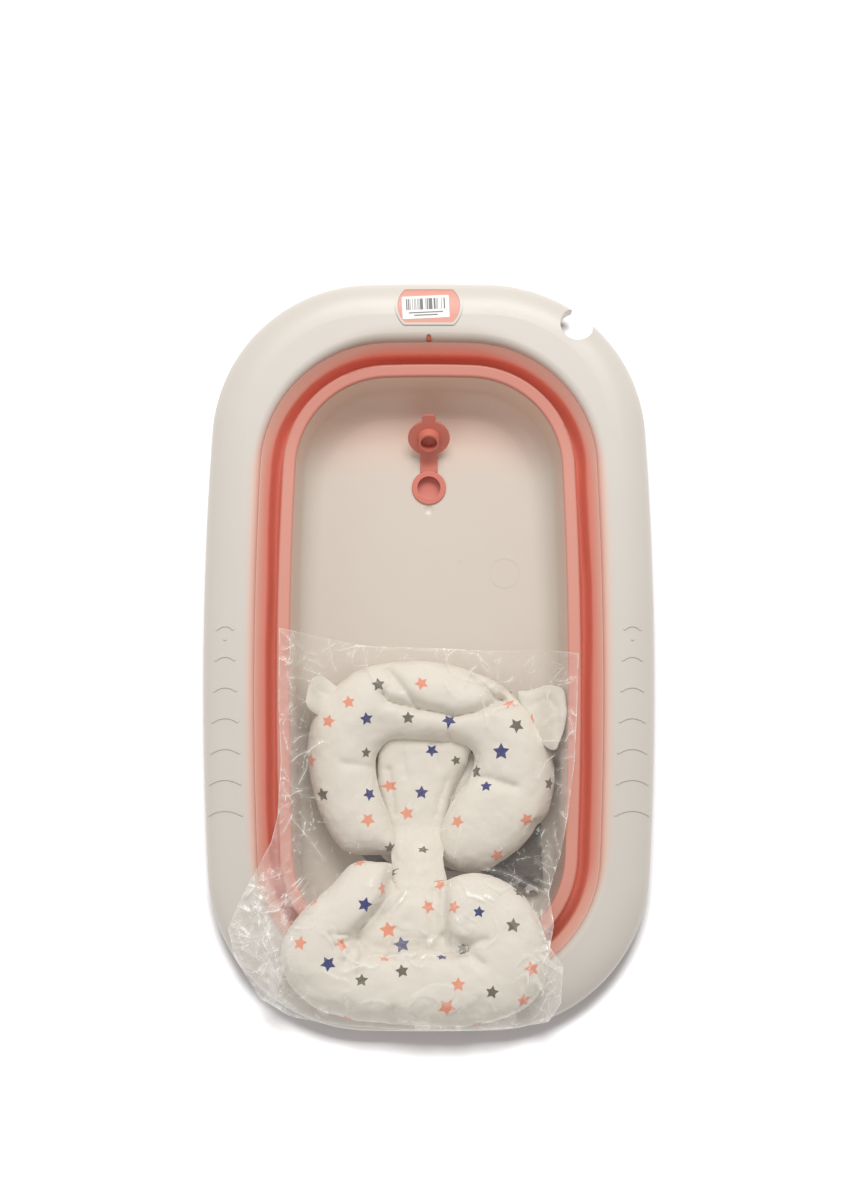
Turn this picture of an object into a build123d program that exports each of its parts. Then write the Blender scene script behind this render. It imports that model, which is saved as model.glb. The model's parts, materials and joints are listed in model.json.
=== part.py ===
from build123d import *
import os
from functools import lru_cache
from math import atan2, cos, hypot, pi, radians, sin, sqrt

# Folding baby bath with a strap-on drain plug, four folding legs and a printed bath cushion.
# Millimetres. +X is the bather's right, +Y points to the badge end, +Z is up.
# The origin is on the floor, under the middle of the rim. The bath is shown folded flat.

# ---- driving dimensions ----
length = 820.0
width = 493.0
floor_gap = 8.0
tray_thickness = 3.0
tray_top = 78.0
rim_top = 95.0
rim_shoulder = 75.0
skirt_bottom = 52.0
shell = 3.0
unfold_travel = 108.0
leg_length = 166.0

# ---- plan curves: each is an oval of side, end and corner arcs ----
rim_corner_radius = 176.0
rim_side_radius = 3950.0
rim_end_radius = 2500.0
basin_half_width = 152.0
basin_half_length = 314.0
basin_centre_y = -10.0
basin_corner_radius = 103.0
basin_side_radius = 4500.0
basin_end_radius = 1500.0

# ---- rim ----
crown_reach = 38.0
crown_steps = 6
lip_offset = 38.0
lip_round = 9.0
inner_skirt_bottom = 70.0
notch_radius = 19.0
notch_inset = 12.3
notch_bearing = 52.0
key_width = 5.4
key_length = 9.5

# ---- folding wall ----
ring_offset = 14.0
ring_top = 84.0
fold_offset = 19.0
body_gap = 0.3
# Each profile runs from the fold upward as (offset from the basin's edge, height).
upper_wall_front = [(19.3, 28.5), (21.5, 30.0), (25.0, 37.0), (27.0, 69.0), (38.0, 86.0)]
upper_wall_back = [(19.3, 26.5), (22.5, 28.0), (27.0, 36.0), (29.0, 69.5), (38.0, 83.5), (38.0, 86.0)]
lower_wall_front = [(19.0, 28.5), (17.0, 33.0), (15.2, 42.0), (14.2, 78.0)]
lower_wall_back = [(19.0, 26.5), (15.2, 31.0), (13.2, 42.0), (12.2, 78.0)]

# ---- tray ----
tray_draft = 10.0
tray_cove = 28.0
tray_flange = 3.0
floor_top = floor_gap + tray_thickness
pad_radius = 14.0
pad_x = 92.0
pad_reach_y = 225.0

# ---- drain plug ----
drain_y = 190.7
drain_hole_radius = 13.0
drain_ring_radius = 19.2
drain_neck_radius = 15.0
ring_flange = 2.5
plug_reach = 30.5
plug_open_angle = 136.0
lid_radius = 23.5
lid_thickness = 2.5
stopper_depth = 10.0
stopper_root_radius = 12.9
stopper_tip_radius = 11.5
stopper_wall = 2.2
strap_width = 19.5
strap_thickness = 2.0
hinge_y = drain_y + plug_reach
hinge_z = floor_top + ring_flange + 0.05

# ---- grip ridges on the two arm rests ----
ridge_count = 7
ridge_first_y = 26.4
ridge_pitch = 33.3
ridge_x = 221.5
ridge_first_width = 17.3
ridge_growth = 3.3
ridge_line = 2.6
ridge_height = 1.1

# ---- badge ----
badge_y = 381.0
badge_half_width = 37.0
badge_flat_half = 27.3
badge_half_height = 21.75
bezel_line = 2.4
label_size = (52.0, 26.0)
label_turn = 2.7

# ---- legs ----
pivot_x = 218.0
pivot_y = 190.0
pivot_z = leg_length - unfold_travel
pin_radius = 4.0
pin_clearance = 0.05
leg_width = 26.0
leg_depth = 14.0
eye_radius = 9.0
ear_thickness = 5.0
ear_half_length = 12.0
tip_length = 22.0
tip_sole = 6.0
tip_wall = 2.5
screw_length = 12.0
corners = [
    ("rear_left", -1, 1),
    ("rear_right", 1, 1),
    ("front_left", -1, -1),
    ("front_right", 1, -1),
]

# ---- cushion in its clear bag ----
head_centre = (2.0, -122.0)
head_half = (133.0, 112.0)
head_bottom = 17.0
head_thickness = 45.0
seat_centre_x = -16.0
seat_far_y = -229.0
seat_half = (143.0, 88.0)
seat_bottom = 79.0
seat_thickness = 42.0
seat_tilt = 12.4
film = 0.8


class Oval:
    """A closed plan curve made of two side arcs, two end arcs and four corner arcs, all tangent."""

    def __init__(self, half_width, half_length, side, end, corner, centre_y=0.0):
        self.half_width = half_width
        self.half_length = half_length
        self.side = side
        self.end = end
        self.corner = corner
        self.centre_y = centre_y
        self.corner_centre = self.find_corner_centre()

    def find_corner_centre(self):
        ax = self.half_width - self.side
        by = self.half_length - self.end
        from_side = self.side - self.corner
        from_end = self.end - self.corner
        apart = hypot(ax, by)
        along = (from_side**2 - from_end**2 + apart**2) / (2 * apart)
        across = sqrt(from_side**2 - along**2)
        ux, uy = -ax / apart, by / apart
        return (ax + along * ux - across * uy, along * uy + across * ux)

    def face(self, offset=0.0, z=0.0):
        """The curve moved outward by offset, as a flat face at height z."""
        cx, cy = self.corner_centre
        turn_side = atan2(cy, cx - (self.half_width - self.side))
        turn_end = atan2(cy - (self.half_length - self.end), cx)
        turn_mid = (turn_side + turn_end) / 2
        radius = self.corner + offset

        def on_corner(turn, sx, sy):
            x = sx * (cx + radius * cos(turn))
            y = sy * (cy + radius * sin(turn)) + self.centre_y
            return (x, y, z)

        quarters = [(1, 1), (-1, 1), (-1, -1), (1, -1)]
        edges = []
        for index, (sx, sy) in enumerate(quarters):
            turns = [turn_side, turn_mid, turn_end]
            if sx != sy:
                turns.reverse()
            start, middle, stop = (on_corner(turn, sx, sy) for turn in turns)
            edges.append(ThreePointArc(start, middle, stop))
            next_sx, next_sy = quarters[(index + 1) % 4]
            next_turn = turn_end if sx == sy else turn_side
            following = on_corner(next_turn, next_sx, next_sy)
            if sx == sy:
                peak = (0, sy * (self.half_length + offset) + self.centre_y, z)
            else:
                peak = (sx * (self.half_width + offset), self.centre_y, z)
            edges.append(ThreePointArc(stop, peak, following))
        return Face(Wire(edges))


rim_plan = Oval(width / 2, length / 2, rim_side_radius, rim_end_radius, rim_corner_radius)
basin_plan = Oval(
    basin_half_width,
    basin_half_length,
    basin_side_radius,
    basin_end_radius,
    basin_corner_radius,
    basin_centre_y,
)


def save(solid, node):
    export_step(solid, f"parts/{node}.step")


def prism(face, bottom, top):
    """Stands a plan face up between two heights."""
    return Pos(0, 0, bottom) * extrude(face, top - bottom, dir=(0, 0, 1))


def ring_between(plan, outer, inner, bottom, top):
    return prism(plan.face(outer), bottom, top) - prism(plan.face(inner), bottom, top)


def slanted(plan, offset_low, low, offset_high, high):
    return loft([plan.face(offset_low, low), plan.face(offset_high, high)], ruled=True)


# ---- rim ----
@lru_cache(maxsize=None)
def crown(inset=0.0, rise=0.0):
    """The solid under the rim's crowned top: a straight skirt, then a quarter ellipse inward."""
    drop = rim_top - rim_shoulder
    shoulder = rim_shoulder + rise
    sections = []
    for step in range(crown_steps + 1):
        turn = pi / 2 * step / crown_steps
        offset = -inset - crown_reach * (1 - cos(turn))
        sections.append(rim_plan.face(offset, shoulder + drop * sin(turn)))
    return prism(rim_plan.face(-inset), skirt_bottom - shell, shoulder) + loft(sections)


def notch_centre():
    cx, cy = rim_plan.corner_centre
    reach = rim_corner_radius - notch_inset
    bearing = radians(notch_bearing)
    return cx + reach * cos(bearing), cy + reach * sin(bearing)


def notch_post(radius):
    x, y = notch_centre()
    return Pos(x, y, 0) * Cylinder(radius, 3 * rim_top)


def ridge_footprints():
    """The curved grip lines of both arm rests and the small dot above the second line."""
    footprints = Sketch()
    for side in (-1, 1):
        for index in range(ridge_count):
            half = (ridge_first_width + ridge_growth * index) / 2
            bow = 2.2 + 0.17 * half
            x = side * (ridge_x - 0.3 * index)
            y = ridge_first_y - ridge_pitch * index
            line = ThreePointArc((x - half, y - bow), (x, y), (x + half, y - bow))
            footprints += SlotArc(line, ridge_line)
        footprints += Pos(side * ridge_x, ridge_first_y - 14.7) * Circle(1.6)
    return footprints


def make_rim():
    plate = crown() - prism(basin_plan.face(lip_offset), 0, 2 * rim_top)
    top_face = plate.faces().filter_by(Plane.XY).sort_by(Axis.Z)[-1]
    rim = fillet(top_face.inner_wires()[0].edges(), lip_round)
    hollow = crown(shell, -shell) - prism(basin_plan.face(lip_offset + shell), 0, 2 * rim_top)
    hollow -= notch_post(notch_radius + shell)
    rim -= hollow
    rim -= prism(basin_plan.face(lip_offset + shell), 0, inner_skirt_bottom)
    rim -= prism(rim_plan.face(5), 0, skirt_bottom)
    rim += on_crown(ridge_footprints(), -shell / 2, ridge_height)
    rim -= notch_post(notch_radius)
    return rim - key_block(0.0, -1.0, 2 * rim_top)


def key_block(gap, start, top):
    """The small rounded slot that crosses the lip under the badge, or the key that fills it."""
    lip_y = basin_centre_y + basin_half_length + lip_offset
    near = lip_y + start
    far = lip_y + key_length - 2.5 - key_width / 2
    half = key_width / 2 - gap
    bar = Pos(0, (near + far) / 2) * Rectangle(2 * half, far - near)
    return prism(bar + Pos(0, far) * Circle(half), rim_top - 8, top)


# ---- badge on the rim ----
def badge_outline(inset=0.0):
    flat = badge_flat_half - 0.4 * inset
    side = badge_half_width - inset
    half = badge_half_height - inset
    edges = [
        Line((-flat, half), (flat, half)),
        ThreePointArc((flat, half), (side, 0), (flat, -half)),
        Line((flat, -half), (-flat, -half)),
        ThreePointArc((-flat, -half), (-side, 0), (-flat, half)),
    ]
    return Pos(0, badge_y) * Face(Wire(edges))


def on_crown(footprint, low, high):
    """A layer over a footprint that follows the crown, from low to high above it."""
    stood = prism(footprint, rim_shoulder, 2 * rim_top)
    return (stood & crown(0, high)) - crown(0, low)


def make_badge():
    bezel = on_crown(badge_outline(), 0.0, 1.8) - prism(badge_outline(bezel_line), 0, 2 * rim_top)
    pad = on_crown(badge_outline(bezel_line + 0.1), 0.0, 1.0)
    label_plan = Pos(-3.5, badge_y - 1.5) * Rot(0, 0, label_turn) * RectangleRounded(*label_size, 1.5)
    label = on_crown(label_plan, 1.0, 1.4)
    return bezel, pad, label


# ---- folding wall ----
def stack(profile):
    """A solid with straight slopes between the basin curve's offsets at the profile's heights."""
    return loft([basin_plan.face(offset, z) for offset, z in profile], ruled=True)


def make_upper_wall():
    """From the rim's lip over a ledge, down to the bottom of the fold. It rises with the rim."""
    wall = stack(upper_wall_back) - stack(upper_wall_front)
    return wall - prism(basin_plan.face(fold_offset + body_gap), 0, 2 * rim_shoulder)


def make_lower_wall():
    """From the bottom of the fold up to the coral ring of the tray. It turns inside out as the rim rises."""
    return stack(lower_wall_front) - stack(lower_wall_back)


# ---- tray ----
def bottom_edges(solid, z):
    return solid.edges().filter_by(lambda e: abs(e.center().Z - z) < 0.01)


def make_tray():
    outside = slanted(basin_plan, tray_thickness - tray_draft, floor_gap, tray_thickness, tray_top)
    outside = fillet(bottom_edges(outside, floor_gap), tray_cove + tray_thickness)
    outside += prism(basin_plan.face(ring_offset - tray_flange), tray_top - tray_flange, tray_top)
    inside = slanted(basin_plan, -tray_draft, floor_top, 0.0, tray_top)
    inside = fillet(bottom_edges(inside, floor_top), tray_cove)
    tray = outside - inside
    tray -= Pos(0, drain_y, floor_gap) * Cylinder(drain_neck_radius, 20)
    finger_dip = Pos(0, drain_y - 25, floor_top + 12.6) * Sphere(14)
    gate_mark = Pos(85, 93, floor_top) * (Cylinder(17, 0.6) - Cylinder(16.2, 0.6))
    gate_dot = Pos(35, 106, floor_top) * Cylinder(1.6, 0.8)
    return tray - finger_dip - gate_mark - gate_dot


def make_tray_ring():
    ring = ring_between(basin_plan, ring_offset, 0.0, tray_top, ring_top)
    return fillet(bottom_edges(ring, ring_top), 2.6)


def make_pad(sx, sy):
    foot = Pos(sx * pad_x, basin_centre_y + sy * pad_reach_y, floor_gap / 2)
    pad = foot * Cylinder(pad_radius, floor_gap)
    return fillet(bottom_edges(pad, 0), 1.5)


# ---- drain plug ----
def make_drain_ring():
    flange_z = floor_top + ring_flange / 2
    flange = Cylinder(drain_ring_radius, ring_flange)
    flange = fillet(bottom_edges(flange, ring_flange / 2), 1.0)
    ring = Pos(0, drain_y, flange_z) * flange
    ring += Pos(0, drain_y, floor_gap + tray_thickness / 2) * Cylinder(drain_neck_radius, tray_thickness)
    ring += Pos(0, drain_y, floor_gap - 1) * Cylinder(drain_neck_radius + 3, 2)
    return ring - Pos(0, drain_y, floor_gap) * Cylinder(drain_hole_radius, 40)


def make_drain_strap():
    near = drain_y + drain_ring_radius - 2.0
    far = hinge_y - 1.0
    strap = Pos(0, (near + far) / 2, floor_top + body_gap + strap_thickness / 2)
    bar = strap * Box(strap_width, far - near, strap_thickness)
    return bar - Pos(0, drain_y, floor_top) * Cylinder(drain_ring_radius, 10)


def make_drain_lid():
    """Built in its shut place over the ring, then swung open about the strap."""
    low = hinge_z + 0.05
    middle = low + lid_thickness / 2
    lid = Pos(0, drain_y, middle) * fillet(Cylinder(lid_radius, lid_thickness).edges(), 0.8)
    tongue_near = drain_y + lid_radius - 4
    tongue_far = hinge_y - 1.0
    tongue = Pos(0, (tongue_near + tongue_far) / 2, low + strap_thickness / 2)
    lid += tongue * Box(strap_width, tongue_far - tongue_near, strap_thickness)
    tab = Pos(0, drain_y - lid_radius - 1, middle) * Box(15, 12, lid_thickness)
    lid += fillet(tab.edges().filter_by(Axis.Z), 3)
    plug = Pos(0, drain_y, low - stopper_depth / 2)
    lid += plug * Cone(stopper_tip_radius, stopper_root_radius, stopper_depth)
    bore = stopper_tip_radius - stopper_wall
    lid -= plug * Cone(bore, bore + 0.8, stopper_depth + 0.5)
    hinge = Axis((0, hinge_y, hinge_z), (1, 0, 0))
    return lid.rotate(hinge, -plug_open_angle)


# ---- legs ----
def make_leg(sx, sy):
    """A channel-backed bar that lies flat under the rim, with its eye on the pivot pin."""
    way = -sy
    bar_length = leg_length - tip_sole
    bar = Pos(0, way * bar_length / 2, 0) * Box(leg_width, bar_length, leg_depth)
    bar = fillet(bar.edges().filter_by(Axis.Y), 3)
    for start, stop in ((14, 72), (78, bar_length - tip_length - 4)):
        pocket = Pos(0, way * (start + stop) / 2, leg_depth / 2) * Box(leg_width - 8, stop - start, leg_depth)
        bar -= pocket
    eye = Rot(0, 90, 0) * Cylinder(eye_radius, leg_width)
    hole = Rot(0, 90, 0) * Cylinder(pin_radius + pin_clearance, 3 * leg_width)
    neck = Pos(0, way * (bar_length - tip_length / 2), 0) * tip_core(tip_length + 1, 0)
    root = Pos(0, way * (bar_length - tip_length) / 2, 0) * Box(60, bar_length - tip_length, 30)
    leg = (bar & (root + neck)) + eye - hole
    return Pos(sx * pivot_x, sy * pivot_y, pivot_z) * leg


def tip_core(run, grow):
    core = Box(leg_width - 2 * tip_wall + grow, run, leg_depth - 2 * tip_wall + grow)
    return fillet(core.edges().filter_by(Axis.Y), 1.5)


def make_leg_tip(sx, sy):
    """The rubber shoe on the end of a leg."""
    way = -sy
    run = tip_length + tip_sole
    shoe = Pos(0, way * (leg_length - run / 2), 0) * Box(leg_width, run, leg_depth)
    shoe = fillet(shoe.edges(), 2.0)
    bore = Pos(0, way * (leg_length - tip_sole - tip_length / 2), 0) * tip_core(tip_length, 0)
    return Pos(sx * pivot_x, sy * pivot_y, pivot_z) * (shoe - bore)


def make_bracket(sx, sy):
    """A clevis fixed to the underside of the rim. It carries one leg."""
    inside = leg_width + 2 * body_gap
    outside = inside + 2 * ear_thickness
    roof = eye_radius + 7.0
    block = Pos(0, 0, rim_top / 2) * Box(outside, 2 * ear_half_length, rim_top)
    ears = block + Rot(0, 90, 0) * Cylinder(ear_half_length, outside)
    ears -= Pos(0, 0, roof - rim_top / 2) * Box(inside, 4 * ear_half_length, rim_top)
    ears -= Rot(0, 90, 0) * Cylinder(pin_radius, 3 * outside)
    for hole in (-1, 1):
        ears -= Pos(hole * 7, 0, roof) * Cylinder(2.0, 2 * screw_length)
    placed = Pos(sx * pivot_x, sy * pivot_y, pivot_z) * ears
    return placed & crown(shell, -shell)


def make_pin(sx, sy):
    span = leg_width + 2 * body_gap + 2 * ear_thickness
    pin = Rot(0, 90, 0) * Cylinder(pin_radius, span)
    head = Pos(-sx * (span / 2 + 1), 0, 0) * Rot(0, 90, 0) * Cylinder(pin_radius + 2, 2)
    return Pos(sx * pivot_x, sy * pivot_y, pivot_z) * (pin + head)


def make_screws():
    screws = []
    for _, sx, sy in corners:
        roof = pivot_z + eye_radius + 7.0
        for hole in (-1, 1):
            place = Pos(sx * pivot_x + hole * 7, sy * pivot_y, roof)
            head = Pos(0, 0, -1.2) * Cylinder(3.6, 2.4)
            head -= Pos(0, 0, -2.4) * Box(5, 0.9, 1.4)
            head -= Pos(0, 0, -2.4) * Box(0.9, 5, 1.4)
            shank = Pos(0, 0, screw_length / 2 - 0.5) * Cylinder(1.95, screw_length - 1)
            screws.append(place * (head + shank))
    return Compound(children=screws)


# ---- cushion ----
def pillow(plan, thickness, edge):
    """A plain stuffed slab with rounded rims."""
    slab = prism(plan, 0, thickness)
    rims = slab.edges().filter_by(lambda e: abs(e.center().Z - thickness / 2) > thickness / 2 - 0.01)
    return fillet(rims, edge)


def head_gap_plan(inset):
    """The space between the arms of the head ring, wide above and narrow below."""
    x, y = head_centre
    top = y + 24 - inset
    low = y - 130
    wide = 52 - inset
    narrow = 34 - inset
    corners_xy = [(x - wide, top), (x + wide, top), (x + narrow, low), (x - narrow, low)]
    outline = Polyline(*corners_xy, close=True)
    return Face(Wire(outline.edges()))


def make_head_ring():
    x, y = head_centre
    plan = Pos(x, y) * Ellipse(*head_half) - head_gap_plan(0.0)
    return Pos(0, 0, head_bottom) * pillow(plan, head_thickness, 13)


def make_head_tongue():
    x, y = head_centre
    cut = Pos(x, y - 122) * Rectangle(200, 30)
    plan = head_gap_plan(1.5) - cut
    return Pos(0, 0, head_bottom + 8) * pillow(plan, 24, 8)


def make_ear(side):
    x, y = head_centre
    disc = Pos(x + side * 108, y + 66, 44) * extrude(Circle(31), 12)
    return disc - prism(Pos(x, y) * Ellipse(head_half[0] + 1, head_half[1] + 1), 0, rim_top)


def make_backing():
    x, y = head_centre
    plan = Pos(x, y - 6) * RectangleRounded(208, 236, 60)
    return prism(plan, floor_top + body_gap, floor_top + body_gap + 3)


def seat_lay(solid):
    """Tips a part of the seat ring up over the rim at the near end."""
    return Pos(0, seat_far_y, seat_bottom) * Rot(-seat_tilt, 0, 0) * solid


def seat_hollow_plan(inset):
    return Pos(seat_centre_x, -66) * Ellipse(58 - inset, 32 - inset)


def make_seat_ring():
    plan = Pos(seat_centre_x, -seat_half[1]) * Ellipse(*seat_half) - seat_hollow_plan(0.0)
    return seat_lay(pillow(plan, seat_thickness, 13))


def make_seat_pad():
    return seat_lay(Pos(0, 0, 4) * pillow(seat_hollow_plan(1.5), 24, 8))


def make_bag_head():
    x, y = head_centre
    plan = Pos(x, y + 14) * RectangleRounded(2 * head_half[0], 250, 40)
    top = head_bottom + head_thickness + 2.5
    return prism(plan, top, top + film)


def make_bag_seat():
    plan = Pos(seat_centre_x + 4, -seat_half[1] + 2) * RectangleRounded(2 * seat_half[0] + 20, 172, 40)
    return seat_lay(prism(plan, seat_thickness + 2.5, seat_thickness + 2.5 + film))


def main():
    os.makedirs("parts", exist_ok=True)
    save(make_tray(), "tray")
    save(make_tray_ring(), "tray_ring")
    for name, sx, sy in corners:
        save(make_pad(sx, sy), f"tray_pad_{name}")
    save(make_upper_wall(), "fold_wall_upper")
    save(make_lower_wall(), "fold_wall_lower")
    save(make_rim(), "rim")
    save(key_block(0.2, 0.2, rim_top - 1.2), "lip_key")
    for solid, node in zip(make_badge(), ("badge_bezel", "badge_pad", "badge_label")):
        save(solid, node)
    save(make_drain_ring(), "drain_ring")
    save(make_drain_strap(), "drain_strap")
    save(make_drain_lid(), "drain_lid")
    for name, sx, sy in corners:
        save(make_leg(sx, sy), f"leg_{name}")
        save(make_leg_tip(sx, sy), f"leg_shoe_{name}")
        save(make_bracket(sx, sy), f"leg_bracket_{name}")
        save(make_pin(sx, sy), f"leg_pin_{name}")
    save(make_screws(), "bracket_screws")
    save(make_head_ring(), "cushion_head_ring")
    save(make_head_tongue(), "cushion_head_tongue")
    save(make_ear(-1), "cushion_ear_left")
    save(make_ear(1), "cushion_ear_right")
    save(make_backing(), "cushion_backing")
    save(make_seat_ring(), "cushion_seat_ring")
    save(make_seat_pad(), "cushion_seat_pad")
    save(make_bag_head(), "bag_over_head")
    save(make_bag_seat(), "bag_over_seat")


main()
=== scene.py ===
import json
import math
import random

import bmesh
import bpy
import numpy as np
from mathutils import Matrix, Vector, noise
from mathutils.bvhtree import BVHTree
from mathutils.geometry import delaunay_2d_cdt


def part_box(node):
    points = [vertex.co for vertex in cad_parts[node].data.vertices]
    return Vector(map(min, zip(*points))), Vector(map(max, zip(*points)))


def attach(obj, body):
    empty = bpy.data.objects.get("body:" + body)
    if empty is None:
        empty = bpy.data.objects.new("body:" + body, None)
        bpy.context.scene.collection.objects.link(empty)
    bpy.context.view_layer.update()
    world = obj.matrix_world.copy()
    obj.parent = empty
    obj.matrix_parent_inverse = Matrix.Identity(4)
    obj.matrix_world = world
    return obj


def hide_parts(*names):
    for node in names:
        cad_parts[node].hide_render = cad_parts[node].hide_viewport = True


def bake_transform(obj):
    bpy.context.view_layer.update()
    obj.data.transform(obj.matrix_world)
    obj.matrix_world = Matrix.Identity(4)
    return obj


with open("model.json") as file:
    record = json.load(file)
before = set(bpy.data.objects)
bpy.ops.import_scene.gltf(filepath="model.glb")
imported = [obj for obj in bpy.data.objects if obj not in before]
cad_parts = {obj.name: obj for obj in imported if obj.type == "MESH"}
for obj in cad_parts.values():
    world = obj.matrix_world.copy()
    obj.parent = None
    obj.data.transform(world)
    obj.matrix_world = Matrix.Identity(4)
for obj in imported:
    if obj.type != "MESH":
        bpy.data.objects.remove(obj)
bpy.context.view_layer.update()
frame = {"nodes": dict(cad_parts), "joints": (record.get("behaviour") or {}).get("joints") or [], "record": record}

MM = 0.001
WHITE = (1.0, 1.0, 1.0, 1.0)

# ---- places read from the frame ----
ring_low, ring_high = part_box("tray_ring")
rim_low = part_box("rim")[0]
floor_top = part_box("tray")[0].z + 3 * MM
ring_offset = 14 * MM
basin_half_width = ring_high.x - ring_offset
basin_half_length = (ring_high.y - ring_low.y) / 2 - ring_offset
basin_centre_y = (ring_high.y + ring_low.y) / 2
basin_corner = 103 * MM
basin_side = 4500 * MM
basin_end = 1500 * MM


# ---- small tools ----
def deselect():
    for obj in bpy.context.selected_objects:
        obj.select_set(False)


def activate(obj):
    deselect()
    obj.select_set(True)
    bpy.context.view_layer.objects.active = obj


def apply_modifiers(obj):
    activate(obj)
    for modifier in list(obj.modifiers):
        bpy.ops.object.modifier_apply(modifier=modifier.name)


def read_points(obj):
    points = np.empty(len(obj.data.vertices) * 3)
    obj.data.vertices.foreach_get("co", points)
    return points.reshape(-1, 3)


def read_normals(obj):
    normals = np.empty(len(obj.data.vertices) * 3)
    obj.data.vertices.foreach_get("normal", normals)
    return normals.reshape(-1, 3)


def write_points(obj, points):
    obj.data.vertices.foreach_set("co", np.asarray(points, dtype=np.float32).ravel())
    obj.data.update()


def store_values(obj, name, values):
    """Keeps a number for each point, for its material to read."""
    stored = obj.data.attributes.new(name, "FLOAT", "POINT")
    stored.data.foreach_set("value", values.astype(np.float32))


def smooth_faces(obj, angle=None):
    activate(obj)
    if angle is None:
        bpy.ops.object.shade_smooth()
    else:
        bpy.ops.object.shade_smooth_by_angle(angle=math.radians(angle))


def fix_normals(obj):
    activate(obj)
    bpy.ops.object.mode_set(mode="EDIT")
    bpy.ops.mesh.select_all(action="SELECT")
    bpy.ops.mesh.normals_make_consistent(inside=False)
    bpy.ops.object.mode_set(mode="OBJECT")


def ease(value, low, high):
    share = np.clip((value - low) / (high - low), 0, 1)
    return share * share * (3 - 2 * share)


# ---- plan curve of the basin ----
def basin_stations(side_steps=12, corner_steps=26, end_steps=12):
    """Points on the basin's edge with their outward directions, once round."""
    ax = basin_half_width - basin_side
    by = basin_half_length - basin_end
    apart = math.hypot(ax, by)
    from_side = basin_side - basin_corner
    from_end = basin_end - basin_corner
    along = (from_side**2 - from_end**2 + apart**2) / (2 * apart)
    across = math.sqrt(from_side**2 - along**2)
    ux, uy = -ax / apart, by / apart
    cx = ax + along * ux - across * uy
    cy = along * uy + across * ux
    turn_side = math.atan2(cy, cx - ax)
    turn_end = math.atan2(cy - by, cx)
    quarter = []
    for step in range(side_steps):
        turn = turn_side * step / side_steps
        quarter.append((ax + basin_side * math.cos(turn), basin_side * math.sin(turn), turn))
    for step in range(corner_steps):
        turn = turn_side + (turn_end - turn_side) * step / corner_steps
        quarter.append((cx + basin_corner * math.cos(turn), cy + basin_corner * math.sin(turn), turn))
    for step in range(end_steps + 1):
        turn = turn_end + (math.pi / 2 - turn_end) * step / end_steps
        quarter.append((basin_end * math.cos(turn), by + basin_end * math.sin(turn), turn))
    right = [(x, y, math.cos(turn), math.sin(turn)) for x, y, turn in quarter]
    left = [(-x, y, -nx, ny) for x, y, nx, ny in reversed(right[:-1])]
    upper = right + left
    lower = [(x, -y, nx, -ny) for x, y, nx, ny in reversed(upper[1:-1])]
    return [(x, y + basin_centre_y, nx, ny) for x, y, nx, ny in upper + lower]


STATIONS = basin_stations()


def ripple(station, strength):
    """How far the soft fold wanders in or out at one station, mostly along the two long sides."""
    x, y, nx, _ = STATIONS[station]
    sideways = abs(nx) ** 3
    slow = noise.noise(Vector((x * 6, y * 9, 2.0)))
    quick = noise.noise(Vector((x * 14, y * 31, 7.0)))
    return strength * sideways * (2.2 * slow + 0.8 * quick) * MM


def swept_band(name, profile, waves):
    """A closed soft wall: a ring of the basin's edge, extruded through a profile of (offset, height) in mm."""
    deselect()
    bpy.ops.mesh.primitive_circle_add(vertices=len(STATIONS), radius=basin_half_width)
    band = bpy.context.object
    band.name = name
    bpy.ops.object.mode_set(mode="EDIT")
    for row, ((offset, height), wave) in enumerate(zip(profile, waves)):
        if row:
            bpy.ops.mesh.extrude_edges_move()
        shape = bmesh.from_edit_mesh(band.data)
        mark = shape.verts.layers.int.get("station") or shape.verts.layers.int.new("station")
        shape.verts.ensure_lookup_table()
        for index, vert in enumerate([v for v in shape.verts if v.select]):
            if not row:
                vert[mark] = index
            x, y, nx, ny = STATIONS[vert[mark]]
            reach = offset * MM + ripple(vert[mark], wave)
            vert.co = (x + nx * reach, y + ny * reach, height * MM)
        bmesh.update_edit_mesh(band.data)
    bpy.ops.mesh.select_all(action="DESELECT")
    bpy.ops.mesh.select_non_manifold()
    bpy.ops.mesh.bridge_edge_loops()
    bpy.ops.mesh.select_all(action="SELECT")
    bpy.ops.mesh.normals_make_consistent(inside=False)
    bpy.ops.object.mode_set(mode="OBJECT")
    smooth_faces(band)
    return band


# ---- shader tools ----
def add_node(tree, kind, inputs=None, **settings):
    made = tree.nodes.new(kind)
    for key, value in settings.items():
        setattr(made, key, value)
    for key, value in (inputs or {}).items():
        feed(tree, made.inputs[key], value)
    return made


def feed(tree, socket, value):
    if isinstance(value, bpy.types.NodeSocket):
        tree.links.new(value, socket)
    else:
        socket.default_value = value


def maths(tree, operation, first, second=0.0, clamp=False):
    made = add_node(tree, "ShaderNodeMath", {0: first, 1: second}, operation=operation)
    made.use_clamp = clamp
    return made.outputs[0]


def times(tree, first, second):
    return maths(tree, "MULTIPLY", first, second)


def plus(tree, first, second):
    return maths(tree, "ADD", first, second)


def opposite(tree, value):
    return maths(tree, "SUBTRACT", 1.0, value)


def band_mask(tree, value, low, high):
    """0 below low, 1 above high, eased between."""
    made = add_node(tree, "ShaderNodeMapRange", {0: value, 1: low, 2: high}, interpolation_type="SMOOTHSTEP")
    return made.outputs[0]


def spread(tree, value, low, high):
    """A 0 to 1 value spread over the range from low to high."""
    return add_node(tree, "ShaderNodeMapRange", {0: value, 3: low, 4: high}).outputs[0]


def blend_colour(tree, share, first, second):
    made = add_node(tree, "ShaderNodeMix", data_type="RGBA", blend_type="MIX")
    feed(tree, made.inputs[0], share)
    feed(tree, made.inputs[6], first)
    feed(tree, made.inputs[7], second)
    return made.outputs[2]


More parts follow.
